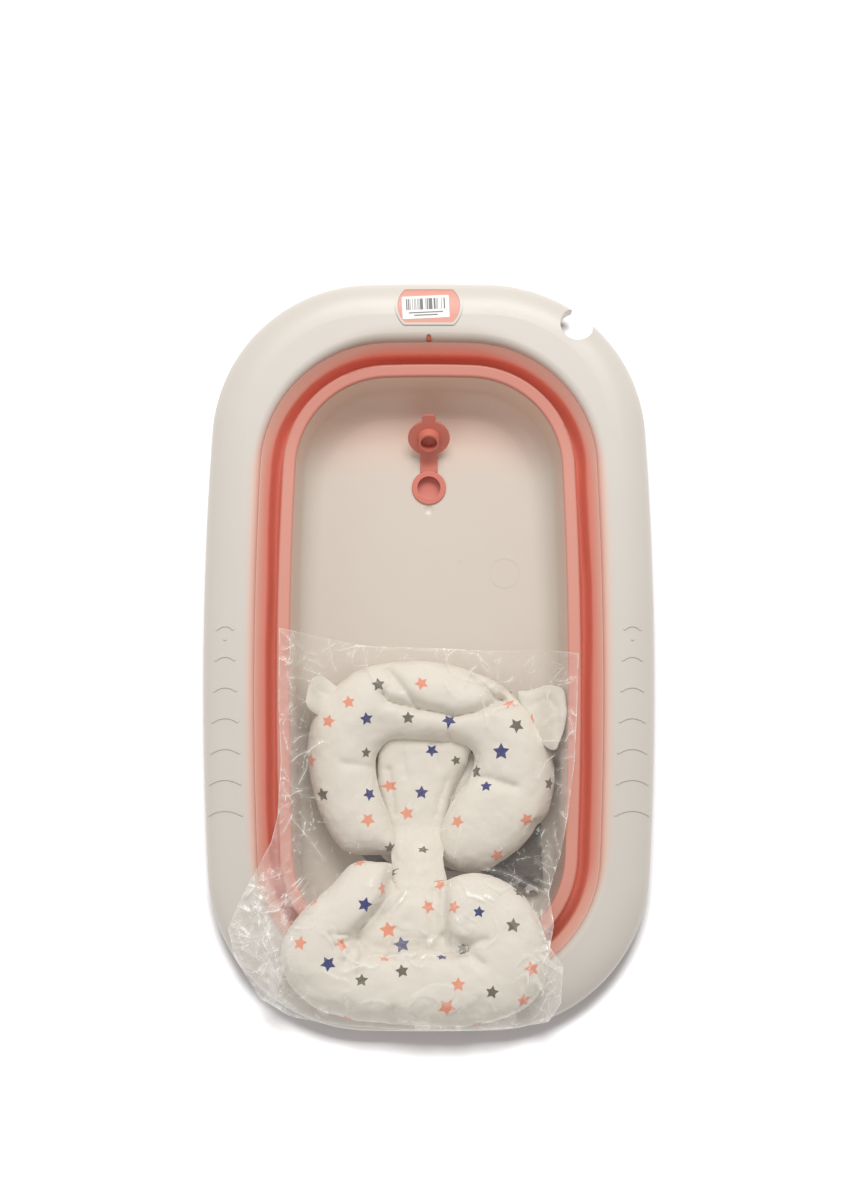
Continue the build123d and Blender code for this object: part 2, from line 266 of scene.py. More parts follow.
def cloud(tree, vector, scale, detail=3.0, roughness=0.5, distortion=0.0):
    inputs = {"Vector": vector, "Scale": scale, "Detail": detail, "Roughness": roughness, "Distortion": distortion}
    return add_node(tree, "ShaderNodeTexNoise", inputs).outputs[0]


def colour(red, green, blue):
    """A colour given as it looks on paper, 0 to 255."""
    return tuple(
        (part / 255 / 12.92) if part <= 10 else ((part / 255 + 0.055) / 1.055) ** 2.4 for part in (red, green, blue)
    ) + (1.0,)


class Finish:
    """A material with its Principled shader and its object coordinates at hand."""

    def __init__(self, name):
        self.material = bpy.data.materials.new(name)
        self.material.use_nodes = True
        self.tree = self.material.node_tree
        self.shader = self.tree.nodes["Principled BSDF"]
        self.place = self.tree.nodes.new("ShaderNodeTexCoord").outputs["Object"]
        self.parts = add_node(self.tree, "ShaderNodeSeparateXYZ", {0: self.place}).outputs

    def group(self, tree, **inputs):
        made = self.tree.nodes.new("ShaderNodeGroup")
        made.node_tree = tree
        for key, value in inputs.items():
            feed(self.tree, made.inputs[key], value)
        return made.outputs

    def put(self, key, value):
        feed(self.tree, self.shader.inputs[key], value)

    def bump(self, height, strength, distance):
        inputs = {"Height": height, "Strength": strength, "Distance": distance}
        self.put("Normal", add_node(self.tree, "ShaderNodeBump", inputs).outputs[0])


def new_group(name, inputs, outputs):
    tree = bpy.data.node_groups.new(name, "ShaderNodeTree")
    for key, kind, value in inputs:
        socket = tree.interface.new_socket(key, in_out="INPUT", socket_type=kind)
        if value is not None:
            socket.default_value = value
    for key, kind in outputs:
        tree.interface.new_socket(key, in_out="OUTPUT", socket_type=kind)
    start = tree.nodes.new("NodeGroupInput")
    end = tree.nodes.new("NodeGroupOutput")
    return tree, start.outputs, end


def make_basin_distance():
    """The distance outward from the basin's edge, and how much a point lies on a long side."""
    tree, given, end = new_group(
        "basin_distance",
        [("Place", "NodeSocketVector", None)],
        [("Offset", "NodeSocketFloat"), ("Side", "NodeSocketFloat")],
    )
    parts = add_node(tree, "ShaderNodeSeparateXYZ", {0: given["Place"]}).outputs
    x = maths(tree, "ABSOLUTE", parts[0])
    y = maths(tree, "ABSOLUTE", maths(tree, "SUBTRACT", parts[1], basin_centre_y))
    x_bow = maths(tree, "DIVIDE", times(tree, y, y), 2 * basin_side)
    y_bow = maths(tree, "DIVIDE", times(tree, x, x), 2 * basin_end)
    qx = maths(tree, "SUBTRACT", plus(tree, x, x_bow), basin_half_width - basin_corner)
    qy = maths(tree, "SUBTRACT", plus(tree, y, y_bow), basin_half_length - basin_corner)
    px = maths(tree, "MAXIMUM", qx, 0.0)
    py = maths(tree, "MAXIMUM", qy, 0.0)
    far = maths(tree, "SQRT", plus(tree, times(tree, px, px), times(tree, py, py)))
    near = maths(tree, "MINIMUM", maths(tree, "MAXIMUM", qx, qy), 0.0)
    feed(tree, end.inputs[0], maths(tree, "SUBTRACT", plus(tree, far, near), basin_corner))
    feed(tree, end.inputs[1], maths(tree, "DIVIDE", px, maths(tree, "MAXIMUM", far, 0.0001), clamp=True))
    return tree


def make_moulded():
    """Fine moulded texture with a slow unevenness: a height, a tone and a handled-surface roughness."""
    tree, given, end = new_group(
        "moulded",
        [("Place", "NodeSocketVector", None), ("Grain", "NodeSocketFloat", 900.0)],
        [("Height", "NodeSocketFloat"), ("Tone", "NodeSocketFloat"), ("Wear", "NodeSocketFloat")],
    )
    fine = cloud(tree, given["Place"], given["Grain"], 2.0, 0.6)
    slow = cloud(tree, given["Place"], 7.0, 3.0, 0.55)
    flow = cloud(tree, given["Place"], 38.0, 4.0, 0.6, 0.4)
    feed(tree, end.inputs[0], plus(tree, fine, times(tree, flow, 0.6)))
    feed(tree, end.inputs[1], slow)
    feed(tree, end.inputs[2], times(tree, slow, flow))
    return tree


def make_weave():
    """Knitted cloth: rows of small loops with a slow unevenness."""
    tree, given, end = new_group(
        "knit",
        [("Place", "NodeSocketVector", None), ("Pitch", "NodeSocketFloat", 1400.0)],
        [("Height", "NodeSocketFloat"), ("Tone", "NodeSocketFloat")],
    )
    parts = add_node(tree, "ShaderNodeSeparateXYZ", {0: given["Place"]}).outputs
    across = maths(tree, "SINE", times(tree, parts[0], given["Pitch"]))
    tilt = plus(tree, parts[1], parts[2])
    along = maths(tree, "SINE", times(tree, tilt, times(tree, given["Pitch"], 1.3)))
    loops = times(tree, across, along)
    fuzz = cloud(tree, given["Place"], 1500.0, 2.0, 0.7)
    slow = cloud(tree, given["Place"], 24.0, 4.0, 0.6)
    feed(tree, end.inputs[0], plus(tree, loops, fuzz))
    feed(tree, end.inputs[1], slow)
    return tree


basin_distance = make_basin_distance()
moulded = make_moulded()
knit = make_weave()


# ---- finishes ----
def rim_finish():
    made = Finish("rim_moulded_white")
    tree = made.tree
    where = made.group(basin_distance, Place=made.place)
    skin = made.group(moulded, Place=made.place, Grain=700.0)
    base = blend_colour(tree, skin["Tone"], colour(212, 205, 196), colour(206, 198, 188))
    # Painted reflection: along the long sides the white rim turns coral towards the lip, standing in for light
    # bounced off the coral fold.
    near_lip = opposite(tree, band_mask(tree, where["Offset"], 0.037, 0.052))
    side = band_mask(tree, where["Side"], 0.25, 0.75)
    base = blend_colour(tree, times(tree, near_lip, side), base, colour(230, 180, 163))
    # Painted shade: at the two ends the rim turns greyish-brown towards the lip, where it rounds down into shade.
    end_side = opposite(tree, side)
    lip_shade_band = opposite(tree, band_mask(tree, where["Offset"], 0.038, 0.060))
    grey = times(tree, times(tree, lip_shade_band, end_side), 0.75)
    base = blend_colour(tree, grey, base, colour(176, 158, 144))
    made.put("Base Color", base)
    made.put("Roughness", spread(tree, skin["Wear"], 0.34, 0.46))
    made.bump(skin["Height"], 0.10, 0.0004)
    return made.material


def tray_finish():
    made = Finish("tray_moulded_cream")
    tree = made.tree
    skin = made.group(moulded, Place=made.place, Grain=800.0)
    base = blend_colour(tree, skin["Tone"], colour(213, 203, 191), colour(208, 197, 184))
    # Painted shade and bounce light: from 20 to 66 mm up, the tray's walls are tinted darker and pinker, as if lit
    # by light bounced off the coral ring.
    wall = band_mask(tree, made.parts[2], 0.020, 0.066)
    base = blend_colour(tree, times(tree, wall, 0.7), base, colour(214, 178, 161))
    # Painted shade: towards the far end the floor is tinted a warmer, slightly darker cream, standing in for the far
    # wall's shade warmed by bounce light from the coral.
    far = times(tree, band_mask(tree, made.parts[1], 0.190, 0.270), 0.85)
    base = blend_colour(tree, far, base, colour(224, 192, 174))
    made.put("Base Color", base)
    made.put("Roughness", spread(tree, skin["Wear"], 0.30, 0.44))
    made.bump(skin["Height"], 0.08, 0.0004)
    return made.material


def soft_finish(name, light, dark, roughness, grain=1100.0):
    """A soft rubbery finish between two close tones."""
    made = Finish(name)
    skin = made.group(moulded, Place=made.place, Grain=grain)
    made.put("Base Color", blend_colour(made.tree, skin["Tone"], light, dark))
    made.put("Roughness", spread(made.tree, skin["Wear"], roughness, roughness + 0.12))
    made.bump(skin["Height"], 0.12, 0.0003)
    return made


def fold_finish():
    """Pale coral on the ledge, deep red in the fold, all one coral rubber: the paler lip by the rim is painted
    light, the deeper red in the fold, darkest at the two ends, is painted shade and bounce light, and the fold glows
    faintly as painted light.
    """
    made = Finish("fold_coral_painted_shade")
    tree = made.tree
    where = made.group(basin_distance, Place=made.place)
    skin = made.group(moulded, Place=made.place, Grain=1200.0)
    # Painted shade and bounce light: down in the fold the coral is a deep red, darkest at the two ends.
    deep_side = blend_colour(tree, skin["Tone"], (0.88, 0.34, 0.26, 1.0), (0.84, 0.30, 0.225, 1.0))
    deep = blend_colour(tree, where["Side"], (0.80, 0.17, 0.11, 1.0), deep_side)
    ledge = blend_colour(tree, skin["Tone"], (0.84, 0.38, 0.30, 1.0), (0.80, 0.35, 0.27, 1.0))
    # Painted light: the ledge turns pale coral towards the rim.
    lip = blend_colour(tree, band_mask(tree, where["Offset"], 0.029, 0.038), ledge, colour(232, 184, 167))
    # Where the colour turns from the fold's painted shade to the ledge's coral: by height, and lower down on the
    # outer wall at the two ends.
    end_drop = times(tree, opposite(tree, where["Side"]), 0.022)
    outside = times(tree, end_drop, band_mask(tree, where["Offset"], 0.020, 0.022))
    high = band_mask(tree, plus(tree, made.parts[2], outside), 0.0650, 0.0715)
    made.put("Base Color", blend_colour(tree, high, deep, lip))
    # Painted light: the deep part of the fold glows faintly warm, though it is no lamp.
    made.put("Emission Color", blend_colour(tree, high, (0.9, 0.62, 0.46, 1.0), (0.0, 0.0, 0.0, 1.0)))
    made.shader.inputs["Emission Strength"].default_value = 0.045
    made.put("Roughness", spread(tree, skin["Wear"], 0.42, 0.56))
    made.bump(skin["Height"], 0.12, 0.0003)
    return made.material


def fabric_finish():
    """Off-white knit. Each point knows how far it is from the edge of the nearest printed star."""
    made = Finish("star_print_knit")
    tree = made.tree
    cloth = made.group(knit, Place=made.place, Pitch=2600.0)
    ground = blend_colour(tree, cloth["Tone"], colour(226, 219, 207), colour(219, 211, 198))
    edge = add_node(tree, "ShaderNodeAttribute", attribute_name="star_edge").outputs["Fac"]
    ink = add_node(tree, "ShaderNodeAttribute", attribute_name="star_ink").outputs["Color"]
    printed = opposite(tree, band_mask(tree, edge, -0.00025, 0.00020))
    fade = cloud(tree, made.place, 420.0, 3.0, 0.7)
    cover = times(tree, printed, band_mask(tree, fade, -0.35, 0.50))
    base = blend_colour(tree, cover, ground, ink)
    made.put("Base Color", base)
    made.shader.inputs["Roughness"].default_value = 0.88
    made.shader.inputs["Sheen Weight"].default_value = 0.25
    made.shader.inputs["Sheen Roughness"].default_value = 0.5
    made.shader.inputs["Specular IOR Level"].default_value = 0.25
    made.bump(cloth["Height"], 0.22, 0.0003)
    return made.material


def felt_finish():
    made = Finish("grey_felt")
    tree = made.tree
    cloth = made.group(knit, Place=made.place, Pitch=2100.0)
    speck = cloud(tree, made.place, 900.0, 4.0, 0.8)
    base = blend_colour(tree, speck, colour(108, 101, 93), colour(66, 61, 55))
    base = blend_colour(tree, times(tree, cloth["Tone"], 0.5), base, colour(90, 84, 77))
    made.put("Base Color", base)
    made.shader.inputs["Roughness"].default_value = 0.95
    made.shader.inputs["Sheen Weight"].default_value = 0.3
    made.bump(cloth["Height"], 0.5, 0.0004)
    return made.material


def film_finish():
    """Clear crinkled film: faint where it lies taut, white along its creases and where it is bunched. The white is
    partly the creased film's own whitening and partly painted light: painted highlights and glow along streaks,
    painted glossy reflections mostly over the seat, painted glints on small facets and a painted sheen at grazing
    angles.
    """
    made = Finish("clear_crinkled_film")
    tree = made.tree

    def stored(name):
        return add_node(tree, "ShaderNodeAttribute", attribute_name=name).outputs["Fac"]

    loose, flare, streak = stored("film_loose"), stored("film_flare"), stored("film_streak")
    facet, small_facet = stored("film_facet"), stored("film_small_facet")
    crease, fine_crease = stored("film_crease"), stored("film_fine_crease")
    wide = cloud(tree, made.place, 14.0, 3.0, 0.55, 0.8)
    broken = cloud(tree, made.place, 60.0, 3.0, 0.65)
    seat_half = opposite(tree, band_mask(tree, made.parts[1], -0.262, -0.240))

    def line(distance, width):
        return opposite(tree, band_mask(tree, distance, width * 0.15, width))

    # Partly real, partly painted: white lines along the creases stand for the creased film's own whitening and for
    # painted highlights.
    long_line = times(tree, line(crease, 0.0009), band_mask(tree, broken, 0.46, 0.62))
    long_share = plus(tree, times(tree, maths(tree, "MAXIMUM", loose, flare), 0.30), 0.07)
    fine_line = times(tree, line(fine_crease, 0.0008), band_mask(tree, broken, 0.50, 0.60))
    fine_share = times(tree, maths(tree, "MAXIMUM", times(tree, loose, 0.5), flare), 0.50)
    # Painted highlights along the listed streaks.
    bright = times(tree, line(streak, 0.0009), band_mask(tree, broken, 0.38, 0.56))
    lines = maths(tree, "MAXIMUM", times(tree, long_line, long_share), times(tree, fine_line, fine_share))
    lines = maths(tree, "MAXIMUM", lines, times(tree, bright, 0.55))
    # Painted glow: a soft white round each streak.
    glow = times(tree, line(streak, 0.005), 0.07)
    # Painted reflections: glossy white patches, mostly over the seat half.
    patch_share = plus(tree, times(tree, seat_half, 0.24), 0.02)
    reflection_cloud = cloud(tree, made.place, 24.0, 2.0, 0.5, 1.6)
    pane = maths(
        tree, "MAXIMUM", band_mask(tree, reflection_cloud, 0.56, 0.63),
        times(tree, band_mask(tree, facet, 0.76, 0.80), 0.3),
    )
    reflection_patch = times(tree, pane, patch_share)
    # Painted glints on small facets where the film flares out.
    facet_glints = times(tree, times(tree, band_mask(tree, small_facet, 0.60, 0.95), flare), 0.14)
    # Partly the bunched film's own whitening, partly painted sheen.
    haze_and_sheen = times(tree, plus(tree, times(tree, flare, 0.46), times(tree, loose, 0.07)), wide)
    veil = plus(tree, plus(tree, reflection_patch, facet_glints), plus(tree, haze_and_sheen, glow))
    # Painted sheen: the film turns whiter at grazing angles.
    grazing = add_node(tree, "ShaderNodeLayerWeight", {"Blend": 0.20}).outputs["Facing"]
    sheen = times(tree, grazing, 0.10)
    white = maths(tree, "ADD", plus(tree, lines, veil), sheen, clamp=True)
    made.put("Alpha", maths(tree, "ADD", white, 0.018, clamp=True))
    made.put("Base Color", blend_colour(tree, wide, colour(252, 249, 244), colour(244, 239, 231)))
    made.shader.inputs["Roughness"].default_value = 0.14
    made.shader.inputs["Specular IOR Level"].default_value = 0.8
    made.bump(cloud(tree, made.place, 240.0, 3.0, 0.6), 0.15, 0.0004)
    return made.material


def label_finish():
    """White paper with plain grey bars and two blank grey lines."""
    made = Finish("plain_bar_label")
    tree = made.tree
    low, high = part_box("badge_label")
    centre = (low + high) / 2
    turned = add_node(
        tree,
        "ShaderNodeMapping",
        {"Vector": made.place, "Location": (-centre.x, -centre.y, 0.0)},
    ).outputs[0]
    turned = add_node(
        tree, "ShaderNodeMapping", {"Vector": turned, "Rotation": (0.0, 0.0, math.radians(-2.7))}
    ).outputs[0]
    parts = add_node(tree, "ShaderNodeSeparateXYZ", {0: turned}).outputs
    cell = maths(tree, "FLOOR", times(tree, parts[0], 1450.0))
    bars = add_node(tree, "ShaderNodeTexWhiteNoise", {"W": cell}, noise_dimensions="1D").outputs["Value"]
    dark = maths(tree, "GREATER_THAN", bars, 0.46)
    inside_x = maths(tree, "LESS_THAN", maths(tree, "ABSOLUTE", parts[0]), 0.0215)
    tall = times(tree, maths(tree, "GREATER_THAN", parts[1], -0.0030), maths(tree, "LESS_THAN", parts[1], 0.0100))
    bar_mask = times(tree, times(tree, dark, tall), inside_x)
    masks = bar_mask
    for middle, half in ((-0.0062, 0.019), (-0.0092, 0.013)):
        row = maths(tree, "LESS_THAN", maths(tree, "ABSOLUTE", maths(tree, "SUBTRACT", parts[1], middle)), 0.0007)
        span = maths(tree, "LESS_THAN", maths(tree, "ABSOLUTE", parts[0]), half)
        masks = maths(tree, "MAXIMUM", masks, times(tree, row, span))
    paper = blend_colour(tree, cloud(tree, made.place, 60.0), colour(246, 245, 242), colour(236, 234, 230))
    made.put("Base Color", blend_colour(tree, times(tree, masks, 0.85), paper, colour(70, 68, 68)))
    made.shader.inputs["Roughness"].default_value = 0.55
    made.bump(cloud(tree, made.place, 1400.0), 0.08, 0.0002)
    return made.material


def steel_finish(name, tone):
    made = Finish(name)
    tree = made.tree
    fine = cloud(tree, made.place, 1300.0, 2.0, 0.6)
    made.put(
        "Base Color",
        blend_colour(tree, fine, colour(tone, tone, tone + 3), colour(tone - 22, tone - 22, tone - 18)),
    )
    made.shader.inputs["Metallic"].default_value = 1.0
    made.put("Roughness", spread(tree, fine, 0.26, 0.42))
    made.bump(fine, 0.08, 0.0002)
    return made.material


rim_white = rim_finish()
tray_cream = tray_finish()
ring_made = soft_finish("ring_soft_coral", colour(215, 150, 134), colour(208, 140, 124), 0.38)
ring_light = ring_made.shader.inputs["Base Color"].links[0].from_socket
# Painted shade: the coral ring is darker towards the far end, where it faces away from the light.
ring_far_shade = band_mask(ring_made.tree, ring_made.parts[1], 0.17, 0.31)
ring_made.put("Base Color", blend_colour(ring_made.tree, ring_far_shade, ring_light, colour(196, 124, 108)))
ring_coral = ring_made.material
badge_coral = soft_finish("badge_pale_coral", colour(222, 158, 141), colour(215, 148, 131), 0.42).material
plug_coral = soft_finish("plug_satin_coral", colour(210, 122, 106), colour(202, 111, 94), 0.36).material
key_red = soft_finish("key_soft_red", colour(158, 66, 44), colour(146, 58, 38), 0.6).material
pad_grey = soft_finish("pad_grey_rubber", colour(132, 130, 128), colour(116, 114, 112), 0.62).material
leg_white = soft_finish("leg_satin_white", colour(220, 213, 203), colour(212, 204, 193), 0.42, 700.0).material
shoe_coral = soft_finish("shoe_soft_coral", colour(212, 112, 96), colour(202, 100, 84), 0.56).material
fold_shaded_coral = fold_finish()
star_print = fabric_finish()
felt_grey = felt_finish()
film_clear = film_finish()
label_paper = label_finish()
pin_metal = steel_finish("pin_turned_steel", 176)
screw_metal = steel_finish("screw_zinc_steel", 164)

slot_finish = {
    "tray_plastic": tray_cream,
    "rim_plastic": rim_white,
    "coral_tpe": ring_coral,
    "red_tpe": key_red,
    "badge_tpe": badge_coral,
    "label_paper": label_paper,
    "coral_silicone": plug_coral,
    "grey_rubber": pad_grey,
    "leg_plastic": leg_white,
    "coral_rubber": shoe_coral,
    "pin_steel": pin_metal,
    "screw_steel": screw_metal,
    "print_fabric": star_print,
    "mesh_fabric": felt_grey,
    "clear_film": film_clear,
}
for part in frame["record"]["subparts"]:
    node = frame["nodes"][part["node"]]
    node.data.materials.clear()
    node.data.materials.append(slot_finish[part["material_slot"]])


def dress(obj, material, body=None, stands_for=()):
    """Gives a new piece its finish and its body, and hides the CAD nodes that it stands for."""
    obj.data.materials.clear()
    obj.data.materials.append(material)
    if body:
        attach(obj, body)
    if stands_for:
        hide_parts(*stands_for)


# ---- the folding wall ----
outer_front = [
    (19.0, 28.3), (20.2, 28.6), (21.6, 29.8), (23.0, 32.4), (24.2, 37.0), (25.2, 44.0), (26.0, 54.0), (26.6, 63.0),
    (27.1, 67.6), (27.8, 69.6), (29.0, 71.6), (31.2, 75.0), (33.6, 79.0), (35.6, 82.4), (37.2, 84.9), (38.0, 86.0),
]
outer_back = [
    (38.0, 83.6), (36.6, 81.4), (33.4, 76.2), (30.6, 71.6), (29.0, 68.6), (28.2, 60.0), (27.4, 48.0), (26.6, 38.0),
    (24.6, 31.0), (22.4, 27.6), (20.4, 26.7), (19.0, 26.5),
]
inner_front = [
    (14.2, 78.0), (14.3, 70.0), (14.5, 60.0), (14.9, 50.0), (15.5, 42.0), (16.3, 36.0), (17.4, 31.4),
    (18.3, 29.0), (19.0, 28.3),
]
inner_back = [
    (19.0, 26.5), (17.6, 27.6), (16.0, 30.4), (14.6, 36.0), (13.6, 44.0), (12.9, 56.0), (12.4, 68.0),
    (12.2, 78.0),
]


def wave_share(height):
    """The fold wanders most near its bottom and not at all at its two fixed edges."""
    return float(ease(height, 80.0, 58.0))


outer_profile = outer_front + outer_back
inner_profile = inner_front + inner_back
outer_skin = swept_band("fold_outer_skin", outer_profile, [wave_share(z) for _, z in outer_profile])
inner_skin = swept_band("fold_inner_skin", inner_profile, [wave_share(z) for _, z in inner_profile])
dress(outer_skin, fold_shaded_coral, "rim", ["fold_wall_upper"])
dress(inner_skin, fold_shaded_coral, None, ["fold_wall_lower"])
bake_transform(inner_skin)

# ---- the plug's strap ----
strap_low, strap_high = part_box("drain_strap")
hinge = next(joint for joint in frame["joints"] if joint["name"] == "drain_lid_hinge")
hinge_y, hinge_z = hinge["pos_m"][1], hinge["pos_m"][2]
open_turn = math.radians(44.0)


def make_strap():
    """A flat strap that leaves the ring, lies on the floor and turns up into the lid at the hinge."""
    start_y = strap_low.y + 0.2 * MM
    run = hinge_y - start_y
    middle_z = (strap_low.z + strap_high.z) / 2
    rows = [(start_y, middle_z, 0.0), (start_y + run * 0.3, middle_z, 0.0), (start_y + run * 0.55, middle_z, 0.0)]
    bend = 6.0 * MM
    for step in range(1, 9):
        turn = open_turn * step / 8
        radius = bend / math.tan(open_turn / 2)
        rows.append((hinge_y - bend + radius * math.sin(turn), middle_z + radius * (1 - math.cos(turn)), turn))
    reach = 6.5 * MM
    last_y, last_z, _ = rows[-1]
    rows.append((last_y + reach * math.cos(open_turn), last_z + reach * math.sin(open_turn), open_turn))
    half = (strap_high.x - strap_low.x) / 2
    deselect()
    bpy.ops.mesh.primitive_plane_add(size=1.0)
    strap = bpy.context.object
    strap.name = "plug_strap_skin"
    bpy.ops.object.mode_set(mode="EDIT")
    shape = bmesh.from_edit_mesh(strap.data)
    for vert in shape.verts:
        ahead = vert.co.y > 0
        y, z, _ = rows[1] if ahead else rows[0]
        vert.co = (math.copysign(half, vert.co.x), y, z)
    for face in shape.faces:
        face.select = False
    for edge in shape.edges:
        if all(abs(vert.co.y - rows[1][0]) < 1e-6 for vert in edge.verts):
            edge.select = True
    bmesh.update_edit_mesh(strap.data)
    for y, z, _ in rows[2:]:
        bpy.ops.mesh.extrude_edges_move()
        shape = bmesh.from_edit_mesh(strap.data)
        for vert in shape.verts:
            if vert.select:
                vert.co.y, vert.co.z = y, z
        bmesh.update_edit_mesh(strap.data)
    bpy.ops.object.mode_set(mode="OBJECT")
    strap.modifiers.new("thick", "SOLIDIFY").thickness = 2.0 * MM
    strap.modifiers["thick"].offset = 0.0
    edge_round = strap.modifiers.new("round", "BEVEL")
    edge_round.width = 0.6 * MM
    edge_round.segments = 3
    edge_round.limit_method = "ANGLE"
    apply_modifiers(strap)
    fix_normals(strap)
    smooth_faces(strap, 40)
    return strap


plug_strap = make_strap()
dress(plug_strap, plug_coral, None, ["drain_strap"])
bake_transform(plug_strap)

# ---- a shallow coral cup below the drain ring, closing the hole from below: a guessed part that also stands in for the shade inside the hole ----
ring_lower, ring_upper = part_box("drain_ring")
drain_centre = (ring_lower + ring_upper) / 2
deselect()
bpy.ops.mesh.primitive_cylinder_add(
    vertices=64, radius=14.2 * MM, depth=4.8 * MM, location=(
        drain_centre.x, drain_centre.y, ring_lower.z - 2.2 * MM,
    )
)
drain_cup = bpy.context.object
drain_cup.name = "drain_cup"
bpy.ops.object.transform_apply(location=True)
bpy.ops.object.mode_set(mode="EDIT")
bpy.ops.mesh.select_all(action="DESELECT")
bpy.ops.mesh.select_mode(type="FACE")
cup_mesh = bmesh.from_edit_mesh(drain_cup.data)
for face in cup_mesh.faces:
    face.select = face.normal.z > 0.9
bmesh.update_edit_mesh(drain_cup.data)
bpy.ops.mesh.inset(thickness=1.1 * MM, depth=0)
bpy.ops.mesh.extrude_region_move(TRANSFORM_OT_translate={"value": (0, 0, -3.2 * MM)})
bpy.ops.object.mode_set(mode="OBJECT")
cup_round = drain_cup.modifiers.new("round", "BEVEL")
cup_round.width = 0.4 * MM
cup_round.segments = 3
apply_modifiers(drain_cup)
smooth_faces(drain_cup, 40)
dress(drain_cup, plug_coral, "tray")


# ---- stuffed pieces ----
CURVE_STEPS = 6


def curve_point(before, here, after, beyond, t):
    """A point between here and after, on the smooth curve through all four."""
    return 0.5 * (
        2 * here + (after - before) * t + (2 * before - 5 * here + 4 * after - beyond) * t**2
        + (3 * here - before - 3 * after + beyond) * t**3
    )


def smooth_loop(corners):
    """A closed rounded line through the corners."""
    corners = np.array(corners, dtype=float)
    count = len(corners)
    line = []
    for index in range(count):
        before, here, after, beyond = (corners[(index + k) % count] for k in (-1, 0, 1, 2))
        for step in range(CURVE_STEPS):
            line.append(curve_point(before, here, after, beyond, step / CURVE_STEPS))
    return np.array(line)


def distance_to_line(points, line, closed):
    """The shortest distance from each plan point to a broken line."""
    stops = np.roll(line, -1, axis=0) if closed else line[1:]
    starts = line if closed else line[:-1]
    best = np.full(len(points), 1e9)
    for start, stop in zip(starts, stops):
        run = stop - start
        share = np.clip(((points - start) @ run) / max(run @ run, 1e-12), 0, 1)
        best = np.minimum(best, np.linalg.norm(points - (start + share[:, None] * run), axis=1))
    return best


def inside_loop(points, loop):
    """Which plan points lie inside a closed line."""
    inside = np.zeros(len(points), dtype=bool)
    for start, stop in zip(loop, np.roll(loop, -1, axis=0)):
        crosses = (start[1] > points[:, 1]) != (stop[1] > points[:, 1])
        level = np.where(stop[1] == start[1], 1.0, stop[1] - start[1])
        inside ^= crosses & (points[:, 0] < start[0] + (points[:, 1] - start[1]) * (stop[0] - start[0]) / level)
    return inside


def smooth_run(corners):
    """An open rounded line through the corners."""
    full = np.vstack([2 * corners[0] - corners[1], corners, 2 * corners[-1] - corners[-2]])
    line = []
    for before, here, after, beyond in zip(full[:-3], full[1:-2], full[2:-1], full[3:]):
        for step in range(CURVE_STEPS):
            line.append(curve_point(before, here, after, beyond, step / CURVE_STEPS))
    return np.vstack([line, corners[-1:]])


def slab(name, outline, bottom, top):
    """A flat slab over a plan outline, in metres."""
    deselect()
    bpy.ops.mesh.primitive_circle_add(vertices=len(outline), radius=0.1)
    made = bpy.context.object
    made.name = name
    bpy.ops.object.mode_set(mode="EDIT")
    shape = bmesh.from_edit_mesh(made.data)
    shape.verts.ensure_lookup_table()
    for vert, (x, y) in zip(shape.verts, outline):
        vert.co = (x, y, bottom)
    bmesh.update_edit_mesh(made.data)
    bpy.ops.mesh.select_all(action="SELECT")
    bpy.ops.mesh.fill(use_beauty=False)
    bpy.ops.mesh.select_all(action="SELECT")
    bpy.ops.mesh.extrude_region_move(TRANSFORM_OT_translate={"value": (0, 0, top - bottom)})
    bpy.ops.mesh.select_all(action="SELECT")
    bpy.ops.mesh.normals_make_consistent(inside=False)
    bpy.ops.object.mode_set(mode="OBJECT")
    return made


def voxel(obj, size):
    """Remeshes a piece evenly."""
    activate(obj)
    obj.data.remesh_voxel_size = size
    obj.data.use_remesh_fix_poles = False
    bpy.ops.object.voxel_remesh()


def relax(obj, rounds):
    modifier = obj.modifiers.new("relax", "SMOOTH")
    modifier.iterations = rounds
    modifier.factor = 0.5
    apply_modifiers(obj)


STUFFING_PRESSURE = 4.0
STUFFING_FRAMES = 20
CLOTH_GROWTH = -0.02


def inflate(obj, cap):
    """Blows a stuffed piece up from inside by a short cloth simulation, with each point's way held to cap."""
    before = read_points(obj)
    cloth = obj.modifiers.new("stuffing", "CLOTH")
    cloth.settings.quality = 5
    cloth.settings.mass = 0.25
    cloth.settings.tension_stiffness = 12
    cloth.settings.compression_stiffness = 12
    cloth.settings.shear_stiffness = 4
    cloth.settings.bending_stiffness = 0.4
    cloth.settings.use_pressure = True
    cloth.settings.uniform_pressure_force = STUFFING_PRESSURE
    cloth.settings.shrink_min = CLOTH_GROWTH
    cloth.settings.effector_weights.gravity = 0
    cloth.point_cache.frame_start = 1
    cloth.point_cache.frame_end = STUFFING_FRAMES
    for count in range(1, STUFFING_FRAMES + 1):
        bpy.context.scene.frame_set(count)
    activate(obj)
    bpy.ops.object.modifier_apply(modifier=cloth.name)
    bpy.context.scene.frame_set(1)
    way = read_points(obj) - before
    far = np.linalg.norm(way, axis=1)
    way *= (cap * np.tanh(far / cap) / np.maximum(far, 1e-9))[:, None]
    write_points(obj, before + way)


CROWN_POWER = 2.3


def crown_up(obj, outline, middle, half, radius, floor_share=0.10):
    """Rounds a slab: full thickness inside, pulled in to a seam along its outline."""
    points = read_points(obj)
    inside = distance_to_line(points[:, :2], outline, True)
    rest = 1 - np.clip(inside / radius, 0, 1)
    swell = np.maximum((1 - rest**CROWN_POWER) ** (1 / CROWN_POWER), floor_share)
    share = np.clip((points[:, 2] - middle) / half, -1, 1)
    points[:, 2] = middle + share * half * swell
    write_points(obj, points)


